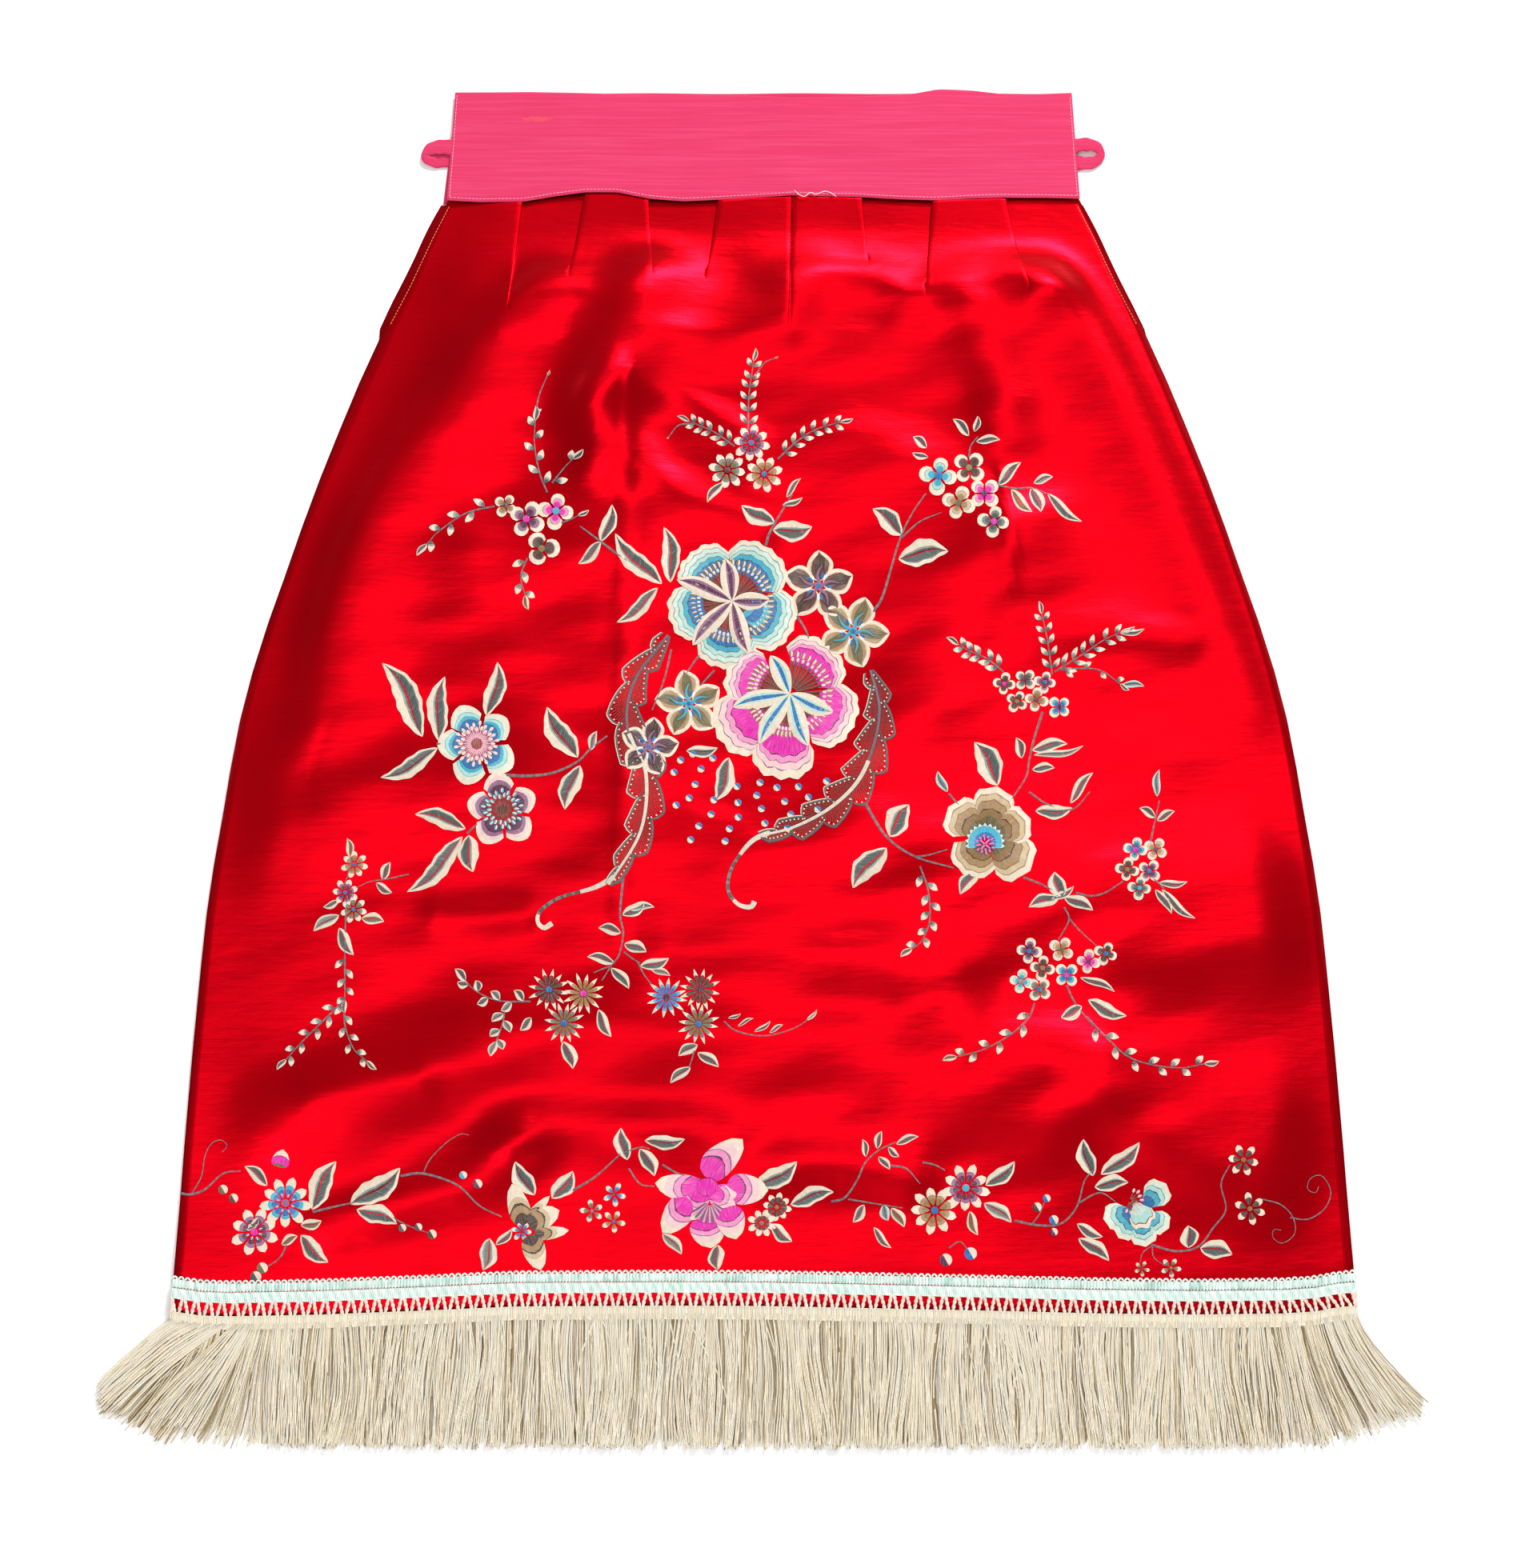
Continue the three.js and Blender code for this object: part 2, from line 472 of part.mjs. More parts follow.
// foot is {y, low, high} at its upper and its lower edge; every lock is four-sided.
function fringeOf(name, { locks, foot, rest, thick, seed }) {
  const [head, edge] = foot;
  const ends = TRIM_HALF - 0.5;
  const pitch = (2 * ends) / locks;
  const outline = [];
  for (const p of [...HEM_LINE].reverse()) outline.push([p.x, head.y]);
  const firstLow = outline.length;
  outline.push([-TRIM_HALF, edge.y]);
  for (let i = 0; i < locks; i++) {
    const x = -ends + (i + 0.5) * pitch;
    outline.push([x - 0.43 * pitch, edge.y], [x + 0.43 * pitch, edge.y]);
  }
  outline.push([TRIM_HALF, edge.y]);
  const count = outline.length;
  const vertices = [];
  for (const side of ["high", "low"]) {
    for (const [x, y] of outline) vertices.push([x, y, y === head.y ? head[side] : edge[side]]);
  }
  const faces = [];
  // The foot's face, laced from left to right between its upper and its lower edge.
  let [a, b] = [firstLow - 1, firstLow];
  while (a > 0 || b < count - 1) {
    const stepUp = a > 0 && (b === count - 1 || outline[a - 1][0] <= outline[b + 1][0]);
    const c = stepUp ? a - 1 : b + 1;
    faces.push([a, b, c], [count + a, count + c, count + b]);
    if (stepUp) a = c;
    else b = c;
  }
  const rootAt = (i) => firstLow + 1 + 2 * i;
  const roots = new Set(Array.from({ length: locks }, (_, i) => rootAt(i)));
  for (let p = 0; p < count; p++) {
    const q = (p + 1) % count;
    if (!roots.has(p)) faces.push([p, count + p, count + q], [p, count + q, q]);
  }
  for (let i = 0; i < locks; i++) {
    const root = -ends + (i + 0.5) * pitch;
    const bent = Math.abs(root) > 292;
    const even = 1 - clamp((Math.abs(root) - 290) / 40, 0, 1);
    const tip = read(TIPS, "root", "tip", root) + 1.3 * chance(i, seed) * even;
    const low = read(TIPS, "root", "y", root) + 2.5 * Math.abs(chance(i, seed + 1));
    let ring = [rootAt(i), count + rootAt(i), count + rootAt(i) + 1, rootAt(i) + 1];
    for (const t of bent ? [0.4, 1] : [1]) {
      const x = mix(root, tip, t ** 1.3);
      const y = mix(edge.y, low, t);
      const wide = pitch * mix(0.42, 0.26, t);
      const next = vertices.length;
      const top = rest + thick * (1 - 0.35 * t);
      vertices.push([x - wide, y, top], [x - wide, y, rest], [x + wide, y, rest], [x + wide, y, top]);
      for (let k = 0; k < 4; k++) {
        const [p, q, r, u] = [ring[k], ring[(k + 1) % 4], next + ((k + 1) % 4), next + k];
        faces.push([p, q, r], [p, r, u]);
      }
      ring = [0, 1, 2, 3].map((k) => next + k);
    }
    faces.push([ring[0], ring[1], ring[2]], [ring[0], ring[2], ring[3]]);
  }
  return meshOf(name, vertices, faces, stuff(0xe8dec8, 0.8));
}
skirt.add(fringeOf("front_fringe", {
  locks: 118, rest: 2.1, thick: 1.4, seed: 3,
  foot: [{ y: HEM - SEAM, low: FRONT_TRIM, high: FRONT_TRIM + 1.1 }, { y: FOOT_LOW, low: 2.3, high: 3.5 }],
}));
skirt.add(fringeOf("back_fringe", {
  locks: 84, rest: 0.25, thick: 1.3, seed: 5,
  foot: [{ y: HEM - SEAM, low: 0, high: 1.2 }, { y: FOOT_LOW, low: 0, high: 1.2 }],
}));

// Every piece near the hem takes the hem's line.
for (const piece of skirt.children) {
  const place = piece.geometry.getAttribute("position");
  for (let i = 0; i < place.count; i++) {
    place.setY(i, place.getY(i) + hemShift(place.getX(i), place.getY(i)));
  }
}

export default skirt;
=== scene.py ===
import math
from collections import namedtuple

import bpy
import numpy as np
from bpy.props import FloatProperty, FloatVectorProperty, IntProperty, PointerProperty
from mathutils import Euler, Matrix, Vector
from mathutils.bvhtree import BVHTree


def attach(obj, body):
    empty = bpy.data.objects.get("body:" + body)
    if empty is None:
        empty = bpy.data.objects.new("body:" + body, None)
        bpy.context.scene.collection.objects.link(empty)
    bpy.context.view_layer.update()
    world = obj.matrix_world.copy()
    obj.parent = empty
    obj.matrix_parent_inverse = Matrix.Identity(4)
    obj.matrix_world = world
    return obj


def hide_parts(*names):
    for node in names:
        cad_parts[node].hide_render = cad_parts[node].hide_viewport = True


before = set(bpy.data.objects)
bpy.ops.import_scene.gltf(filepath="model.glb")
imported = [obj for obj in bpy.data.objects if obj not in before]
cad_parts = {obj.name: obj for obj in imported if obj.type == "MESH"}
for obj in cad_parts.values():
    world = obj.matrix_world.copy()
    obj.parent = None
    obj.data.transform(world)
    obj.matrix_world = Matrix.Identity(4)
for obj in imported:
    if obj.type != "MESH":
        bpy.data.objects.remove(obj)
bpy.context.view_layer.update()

bl_info = {
    "name": "Embroidered skirt",
    "version": (1, 0, 0),
    "blender": (4, 5, 0),
    "location": "3D View > Sidebar > Skirt",
    "description": "Builds the cloth, the embroidery, the hem trims and the stage of a silk skirt",
    "category": "Object",
}

MM = 0.001


def each(kind, table):
    """A named row for each row of a table."""
    return [kind(*row) for row in table]


# Driving sizes, in millimetres, on the same frame as the solids.
LAYER = 1.3  # one layer of a pleat over the next
UNDERLAP = 8.0  # how far a pleat's edge lies over the cloth under it
BAND_LOW = 368.0
BAND_HALF = 213.0
REST = 2.0  # height of the front panel where it lies flat
TOP_ROWS = 102.0  # close rows of the panel's mesh reach this far below the waistband
TOP_STEP = 3.0
FLAT_STEP = 4.6  # widest step between two columns of the panel's mesh
SPREAD_OVER = 170.0  # below its end a pleat takes this far to lie open
ROLL_HALF = 0.65  # half the thickness of a pleat's rolled edge
TRIM_HALF = 360.0
BRAID_LOW = -357.2
HEM = -364.9
FOOT_LOW = -373.4
TIPS_LOW = -449.0
BRAID_WALL = 1.5
RISE = 1.8  # the panels step up by this over the trim under them
RISE_FROM = -292.0
RISE_TO = -340.0
TRIM_FLOOR = 4.6
LATTICE_UNITS = 92
PITCH = 2 * TRIM_HALF / LATTICE_UNITS

# The braid: its two ribs, the small loops, the upright bars and the wraps of the low rib.
Rib = namedtuple("Rib", "y tall beat depth")
RIBS = [Rib(-347.9, 2.5, PITCH / 4, 0.13), Rib(-353.9, 3.1, 1.3, 0.08)]
RIB_RUNS, RUN_STEPS = 36, 40
PICOT_FOOT, PICOT_TALL = -346.6, 2.6
BAR_LOW, BAR_TOP = -350.6, -345.7
WRAP_LOW, WRAP_MIDDLE, WRAP_TOP = -357.1, -354.0, -351.0
WRAP_STEP = 1.15

# Waistbands: x at the lower and at the upper corner of the left end, and of the right end.
FRONT_ENDS = ((-213.5, -210.5), (213.5, 210.5))
BACK_ENDS = ((-216.4, -209.4), (213.5, 210.2))
BACK_BAND_LOW, BACK_BAND_TOP = 366.3, 449.0
BAND_WIDE, BAND_TALL, BAND_ROUND = 427, 80, 1.1
# Where the front waistband bows up, at its top edge and at its low one.
Bow = namedtuple("Bow", "x wide high")
TOP_BOWS = [Bow(18, 26, 1.5), Bow(122, 20, 1.4)]
LOW_BOW = Bow(-107, 24, 0.8)
BACK_TOP = 365.5
PEEK_FROM = 264  # above this the back panel's edges show beside the front one

# A faint rust mark on the front waistband, in metres.
MARK_X, MARK_Y = -0.154, 0.4283
MARK_WIDE, MARK_TALL = 0.013, 0.0022

SIDE = {
    "y": [-364.9, -330, -271, -212, -151, -121, -90, -58, -27, 5, 37, 70, 102, 135, 169, 203, 237,
          274, 306, 341, 368, 372],
    "half": [360, 359, 357.5, 355.5, 352.7, 351, 348, 344, 340.5, 336, 329.5, 321, 311.5, 302,
             291.5, 280, 268, 253.5, 239, 225, 213, 212],
}
HEM_LINE = {
    "x": [-360, -342, -325, -270, -210, -150, -60, 0, 60, 140, 200, 260, 315, 335, 348, 360],
    "y": [-3, -5.6, -6.2, -5.2, -2.9, -0.3, 0.2, 0, -1.2, -2.9, -4.4, -5.1, -4.5, -3.2, -0.8, 0.3],
}
BAND_TOP_EDGE = {
    "x": [-211, -159, -72, -25, 18.5, 75, 104, 119, 143, 170, 209.5],
    "y": [448.7, 449, 446.9, 446.9, 444.3, 446.1, 447.6, 450.2, 449.8, 446.9, 448.3],
}
BAND_LOW_EDGE = {
    "x": [-213.5, -191.7, -162.5, -141.3, -120.2, -98.8, -77.5, -54, -30.4, -5.6, 19.4, 43, 66.5,
          90.3, 114.1, 138.7, 163.3, 188.1, 213.5],
    "y": [367.2, 366, 366.3, 370.2, 372.8, 372.8, 368.3, 366.6, 367.7, 369.3, 370.8, 370.2, 369.6,
          368.2, 367.2, 368.5, 369.2, 369.1, 368.6],
}
Pleat = namedtuple("Pleat", "at opens length looks")
PLEATS = each(Pleat, [
    (-162.5, -170, 82, 1), (-120.2, -130, 57, -1), (-77.5, -74, 57, 1),
    (-30.4, -38, 57, -1), (19.2, 16.4, 93, 1), (19.6, 18.4, 93, -1),
    (66.5, 70, 44, 1), (114.1, 108, 69, -1), (163.3, 176, 69, 1),
])
# Folds: crest height, reach of the steep side (on the left of the walk) and of the gentle one.
Fold = namedtuple("Fold", "high steep gentle line")
FOLDS = each(Fold, [
    (7, 18, 45, [(-285, 2), (-280, 75), (-269, 119), (-239, 174), (-189, 254), (-153, 299)]),
    (8, 19, 32, [(-108, 188), (-111, 225), (-102, 251), (-88, 282), (-73, 323)]),
    (4, 24, 18, [(11, 278), (-40, 268), (-82, 251), (-111, 225)]),
    (4.5, 18, 24, [(97, 298), (78, 314), (46, 316), (24, 303)]),
    (4.5, 18, 24, [(127, 310), (148, 322), (178, 316), (188, 303)]),
    (7, 32, 42, [(336, 26), (306, 102), (267, 180), (227, 254), (192, 299)]),
    (4, 38, 42, [(72, -53), (90, -6), (122, 53), (152, 119)]),
    (3, 36, 30, [(163, 138), (119, 160), (66, 186), (3, 185)]),
    (2.6, 34, 28, [(-86, 113), (-133, 120), (-185, 111)]),
    (5, 46, 34, [(-94, -48), (-161, -33), (-227, -44), (-298, -64), (-340, -11)]),
    (5, 42, 36, [(347, -111), (276, -100), (175, -90), (84, -80), (3, -82), (-78, -94)]),
    (6, 24, 28, [(301, -291), (226, -248), (190, -214), (130, -199), (106, -160), (43, -151),
                 (-17, -146), (-59, -147)]),
    (3, 24, 22, [(350, -147), (285, -144), (224, -149)]),
    (5, 32, 28, [(176, -251), (112, -224), (63, -207), (-107, -199), (-177, -208),
                 (-216, -227), (-292, -253)]),
    # creases too fine for the solid
    (2.6, 14, 12, [(-16, 200), (-55, 222), (-97, 235)]),
    (3, 16, 16, [(-5, 133), (-39, 147), (-81, 174), (-111, 217)]),
    (4, 15, 22, [(157, 200), (152, 242), (138, 282)]),
    (2.5, 13, 14, [(270, 58), (221, 64), (174, 62)]),
    (2, 9, 12, [(-151, -125), (-179, -127), (-205, -125)]),
    (4, 15, 18, [(-24, -264), (-57, -259), (-126, -257), (-156, -264)]),
    (4, 15, 18, [(-148, -271), (-180, -290), (-223, -305), (-265, -318)]),
    (3.4, 13, 16, [(89, -288), (42, -280), (0, -286)]),
    (3, 30, 26, [(315, -249), (261, -228), (216, -222)]),
    (2, 12, 16, [(-214, -227), (-246, -231), (-275, -236)]),
    (0.9, 3, 4, [(-88, 236), (-90, 120), (-89, -20), (-90, -140)]),
    (1.1, 5, 4, [(157, 170), (159, 130), (158, 92)]),
])
Billow = namedtuple("Billow", "x y high wide tall")
BILLOWS = each(Billow, [
    (-100, 300, 4.5, 42, 55), (-5, 285, 5, 45, 60), (62, 290, 4, 38, 45),
    (150, 285, 4.5, 45, 55), (-190, 290, 2.5, 32, 60), (0, 160, 3, 150, 90),
])
# Low waves of the silk: height, length, heading and phase.
Ripple = namedtuple("Ripple", "high long heading phase")
RIPPLES = each(Ripple, [
    (0.55, 118, 78, 0.4), (0.5, 83, 104, 2.1), (0.3, 47, 66, 4.0),
    (0.26, 39, 118, 1.3), (0.4, 96, 20, 5.2), (0.14, 23, 95, 3.3),
])
TIPS = {
    "root": [-360, -350, -341, -328, -311, -296, 0, 300, 320, 334, 346, 360],
    "tip": [-400, -391, -378, -359, -331, -301, 0, 303, 334, 357, 379, 400],
    "y": [-427, -434, -441, -446, -448, -449, -449.5, -449, -448, -443, -437, -428],
}

# The camera: tilt from straight down, distance and the point on the ground that it looks at.
CAMERA_TILT = math.radians(14)
CAMERA_FAR = 1670.0
AIM = (-2.0, -37.3)
LENS = 60.0
SENSOR = 36.0
PAGE_WIDE, PAGE_TALL = 1901, 1960
FOCAL = LENS / SENSOR * PAGE_TALL
PAGE_SCALE = 0.51  # millimetres on the cloth for one step of the page


def mix(a, b, t):
    return a + (b - a) * t


def smooth(v):
    t = np.clip(v, 0, 1)
    return t * t * (3 - 2 * t)


def along(table, key, value, at):
    return np.interp(at, table[key], table[value])


def half_width(y):
    return along(SIDE, "y", "half", y)


def band_low(x):
    return along(BAND_LOW_EDGE, "x", "y", x)


def band_top(x):
    return along(BAND_TOP_EDGE, "x", "y", x)


def hem_shift(x, y):
    above = smooth((-250 - y) / 70)
    below = np.clip((y - TIPS_LOW) / (FOOT_LOW - TIPS_LOW), 0, 1)
    return along(HEM_LINE, "x", "y", x) * above * below


def rise(y):
    """The step up of a panel over the trim under it."""
    return RISE * np.clip((RISE_FROM - y) / (RISE_FROM - RISE_TO), 0, 1)


def rgb(r, g, b):
    """Linear light from a colour as it is seen on a screen."""
    v = np.array([r, g, b], dtype=float) / 255
    return np.where(v <= 0.04045, v / 12.92, ((v + 0.055) / 1.055) ** 2.4)


def curve(points, count):
    """Points spaced evenly on a smooth line through the given ones."""
    p = np.array(points, dtype=float)
    ends = np.vstack([2 * p[0] - p[1], p, 2 * p[-1] - p[-2]])
    t = np.linspace(0, 1, 9)[:-1, None]
    runs = []
    for a, b, c, d in zip(ends, ends[1:], ends[2:], ends[3:]):
        runs.append(0.5 * (2 * b + (c - a) * t + (2 * a - 5 * b + 4 * c - d) * t ** 2
                           + (3 * b - a - 3 * c + d) * t ** 3))
    fine = np.vstack(runs + [p[-1:]])
    far = np.concatenate([[0], np.cumsum(np.linalg.norm(np.diff(fine, axis=0), axis=1))])
    at = np.linspace(0, far[-1], count)
    return np.stack([np.interp(at, far, fine[:, k]) for k in range(p.shape[1])], axis=1)


def toward(degrees):
    """The unit vector of a heading on the page."""
    a = math.radians(degrees)
    return np.array([math.cos(a), math.sin(a)])


def normals(line):
    """Unit tangent and unit normal at each point of a flat line."""
    tangent = np.gradient(line, axis=0)
    tangent /= np.maximum(np.linalg.norm(tangent, axis=1, keepdims=True), 1e-9)
    return tangent, np.stack([-tangent[:, 1], tangent[:, 0]], axis=1)


def to_cloth(px, py, z):
    """The place on the skirt, z above the ground, that a point of the page shows."""
    v = PAGE_TALL / 2 - py
    sine, cosine = math.sin(CAMERA_TILT), math.cos(CAMERA_TILT)
    y = (v * (CAMERA_FAR - z * cosine) - FOCAL * z * sine) / (FOCAL * cosine - v * sine)
    x = (px - PAGE_WIDE / 2) * (CAMERA_FAR + y * sine - z * cosine) / FOCAL
    return x + AIM[0], y + AIM[1]


def fold_height(fold, x, y):
    line = curve(fold.line, 3 * len(fold.line))
    best = np.full(x.shape, 1e6)
    lean = np.zeros(x.shape)
    for (ax, ay), (bx, by) in zip(line, line[1:]):
        dx, dy = bx - ax, by - ay
        t = np.clip(((x - ax) * dx + (y - ay) * dy) / (dx * dx + dy * dy), 0, 1)
        far = np.hypot(x - ax - t * dx, y - ay - t * dy)
        off = (dx * (y - ay) - dy * (x - ax)) / math.hypot(dx, dy)
        nearer = far < best
        best = np.where(nearer, far, best)
        lean = np.where(nearer, off / np.maximum(far, 1e-6), lean)
    reach = mix(fold.gentle, fold.steep, 0.5 + 0.5 * np.clip(lean, -1, 1))
    return fold.high * np.exp(-(best / reach) ** 2)


def loft(x, y, gain):
    """Mid height of the front panel's lowest layer; gain is the folds' height against the solid's."""
    below = band_low(x) - y
    z = np.zeros(x.shape)
    for fold in FOLDS:
        z += gain * fold_height(fold, x, y)
    for b in BILLOWS:
        z += b.high * np.exp(-(((x - b.x) / b.wide) ** 2) - ((y - b.y) / b.tall) ** 2)
    bent = 14 * np.sin(x / 90 + 1.1) + 9 * np.sin(y / 63 + 0.5)
    waves = np.zeros(x.shape)
    for r in RIPPLES:
        a = math.radians(r.heading)
        run = (x + bent) * math.cos(a) + (y + bent) * math.sin(a)
        waves += r.high * (1 + np.sin(2 * math.pi * run / r.long + r.phase))
    inside = half_width(y) - np.abs(x)
    waves *= smooth(inside / 130) * smooth((y - HEM - 6) / 100)
    z += waves
    edge = smooth(inside / 42)
    top = smooth((below - 14) / 60)
    hem = smooth((y - HEM - 12) / 60)
    return REST + z * edge * top * hem + rise(y)


def mesh_piece(name, points, faces, shade):
    """A smooth-shaded mesh object from points in millimetres."""
    mesh = bpy.data.meshes.new(name)
    mesh.from_pydata((np.asarray(points) * MM).tolist(), [], faces)
    mesh.polygons.foreach_set("use_smooth", [True] * len(mesh.polygons))
    mesh.materials.append(shade)
    mesh.update()
    piece = bpy.data.objects.new(name, mesh)
    bpy.context.scene.collection.objects.link(piece)
    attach(piece, "root")
    return piece


def thicken(piece, wall):
    """Gives a sheet its thickness, half of it on each side."""
    solid = piece.modifiers.new("wall", "SOLIDIFY")
    solid.thickness = wall * MM
    solid.offset = 0
    graph = bpy.context.evaluated_depsgraph_get()
    done = bpy.data.meshes.new_from_object(piece.evaluated_get(graph))
    piece.modifiers.clear()
    piece.data = done


def grid_faces(rows, cols, start=0, closed=False):
    r, c = np.meshgrid(np.arange(rows - 1), np.arange(cols if closed else cols - 1), indexing="ij")
    a = start + r * cols + c
    b = start + r * cols + (c + 1) % cols
    return np.stack([a, a + cols, b + cols, b], axis=-1).reshape(-1, 4)


def paint(piece, tones):
    """One colour for each face, kept on its corners."""
    mesh = piece.data
    sizes = np.empty(len(mesh.polygons), dtype=int)
    mesh.polygons.foreach_get("loop_total", sizes)
    colour = np.ones((len(mesh.loops), 4))
    colour[:, :3] = np.repeat(np.asarray(tones), sizes, axis=0)
    layer = mesh.color_attributes.new("thread", "FLOAT_COLOR", "CORNER")
    layer.data.foreach_set("color", colour.ravel())


class Tubes:
    """Threads and cords of equal make, swept together."""

    def __init__(self):
        self.points, self.faces, self.tones = [], [], []
        self.count = 0

    def sweep(self, paths, radius, sides, flat, tones, turn=0.0):
        """paths is (threads, points, 3); radius is one value, or one for each point."""
        paths = np.asarray(paths, dtype=float)
        n, k, _ = paths.shape
        radius = np.broadcast_to(np.asarray(radius, dtype=float), (n, k))
        tangent = np.gradient(paths, axis=1)
        tangent /= np.maximum(np.linalg.norm(tangent, axis=2, keepdims=True), 1e-9)
        side = np.cross(tangent, [0, 0, 1.0])
        size = np.linalg.norm(side, axis=2, keepdims=True)
        side = np.where(size < 1e-3, [1.0, 0, 0], side / np.maximum(size, 1e-9))
        up = np.cross(side, tangent)
        angle = turn + np.arange(sides) * 2 * math.pi / sides
        ring = (np.cos(angle)[None, None, :, None] * side[:, :, None, :]
                + flat * np.sin(angle)[None, None, :, None] * up[:, :, None, :])
        points = paths[:, :, None, :] + ring * radius[:, :, None, None]
        one = grid_faces(k, sides, closed=True)[:, ::-1]
        starts = self.count + np.arange(n) * k * sides
        faces = (one[None] + starts[:, None, None]).reshape(-1, 4)
        caps = []
        for s in starts:
            caps.append([int(s + j) for j in range(sides)])
            caps.append([int(s + (k - 1) * sides + j) for j in reversed(range(sides))])
        self.points.append(points.reshape(-1, 3))
        self.faces += faces.tolist() + caps
        tones = np.asarray(tones, dtype=float)
        self.tones.append(np.repeat(tones, len(one), axis=0))
        self.tones.append(np.repeat(tones, 2, axis=0))
        self.count += n * k * sides

    def piece(self, name, slot, shade):
        made = mesh_piece(name, np.vstack(self.points), self.faces, shade)
        paint(made, np.vstack(self.tones))
        return made


def cloth_settings():
    return bpy.context.scene.skirt_cloth


def trim_settings():
    return bpy.context.scene.skirt_trim


class Shade:
    """A procedural material, built node by node."""

    def __init__(self, name, **values):
        self.material = bpy.data.materials.new(name)
        self.material.use_nodes = True
        self.tree = self.material.node_tree
        self.bsdf = self.tree.nodes["Principled BSDF"]
        for key, value in values.items():
            self.bsdf.inputs[key.replace("_", " ")].default_value = value
        self.place = self.node("ShaderNodeTexCoord").outputs["Object"]
        self.bump_from = None

    def node(self, kind, inputs=None, **settings):
        made = self.tree.nodes.new(kind)
        for key, value in settings.items():
            setattr(made, key, value)
        for key, value in (inputs or {}).items():
            if isinstance(value, bpy.types.NodeSocket):
                self.tree.links.new(value, made.inputs[key])
            else:
                made.inputs[key].default_value = value
        return made

    def math(self, operation, a, b=0.0, c=0.0):
        return self.node("ShaderNodeMath", {0: a, 1: b, 2: c}, operation=operation).outputs[0]

    def times(self, a, b):
        return self.math("MULTIPLY", a, b)

    def mix(self, factor, a, b, blend="MIX"):
        made = self.node("ShaderNodeMix", data_type="RGBA", blend_type=blend)
        for key, value in ((0, factor), (6, a), (7, b)):
            if isinstance(value, bpy.types.NodeSocket):
                self.tree.links.new(value, made.inputs[key])
            else:
                made.inputs[key].default_value = value
        return made.outputs[2]

    def stretch(self, scale, source=None):
        made = self.node("ShaderNodeMapping", {"Vector": source or self.place})
        made.inputs["Scale"].default_value = scale
        return made.outputs[0]

    def noise(self, scale, stretch=(1, 1, 1), detail=3.0, source=None):
        made = self.node("ShaderNodeTexNoise", {
            "Vector": self.stretch(stretch, source), "Scale": scale, "Detail": detail})
        return made.outputs["Fac"]

    def wave(self, scale, stretch=(1, 1, 1), distortion=0.0, source=None):
        made = self.node("ShaderNodeTexWave", {
            "Vector": self.stretch(stretch, source), "Scale": scale, "Distortion": distortion})
        return made.outputs["Fac"]

    def ramp(self, value, low, high):
        made = self.node("ShaderNodeMapRange", {
            "Value": value, "From Min": low, "From Max": high}, interpolation_type="SMOOTHSTEP")
        return made.outputs[0]

    def bump(self, height, distance, strength=1.0):
        made = self.node("ShaderNodeBump", {
            "Height": height, "Distance": distance, "Strength": strength})
        if self.bump_from:
            self.tree.links.new(self.bump_from, made.inputs["Normal"])
        self.bump_from = made.outputs[0]
        self.tree.links.new(self.bump_from, self.bsdf.inputs["Normal"])

    def colour(self, socket):
        self.tree.links.new(socket, self.bsdf.inputs["Base Color"])

    def rough(self, socket):
        self.tree.links.new(socket, self.bsdf.inputs["Roughness"])


def tone(*screen):
    return (*rgb(*screen), 1.0)


def scaled(colour, factor=1.0):
    """A colour of the settings, made lighter or deeper."""
    return (*(np.array(colour) * factor), 1.0)


def satin_shade():
    silk = cloth_settings().silk
    s = Shade("silk_satin", Metallic=0.8, Anisotropic=0.3, Specular_IOR_Level=0.06)
    slub = s.noise(260, (0.18, 6, 1), 2)
    cloud = s.noise(9, detail=2)
    red = s.mix(s.ramp(cloud, 0.3, 0.7), scaled(silk), scaled(silk, 1.184))
    red = s.mix(s.times(s.ramp(slub, 0.52, 0.8), 0.35), red, scaled(silk, 0.61))
    s.colour(red)
    s.rough(s.math("MULTIPLY_ADD", slub, 0.1, 0.25))
    s.bump(s.noise(26, (1, 1.6, 1), 3), 0.0009, 0.5)
    s.bump(s.noise(90, (0.5, 2.2, 1), 2), 0.0003, 0.5)
    s.bump(slub, 0.00008, 0.5)
    return s.material


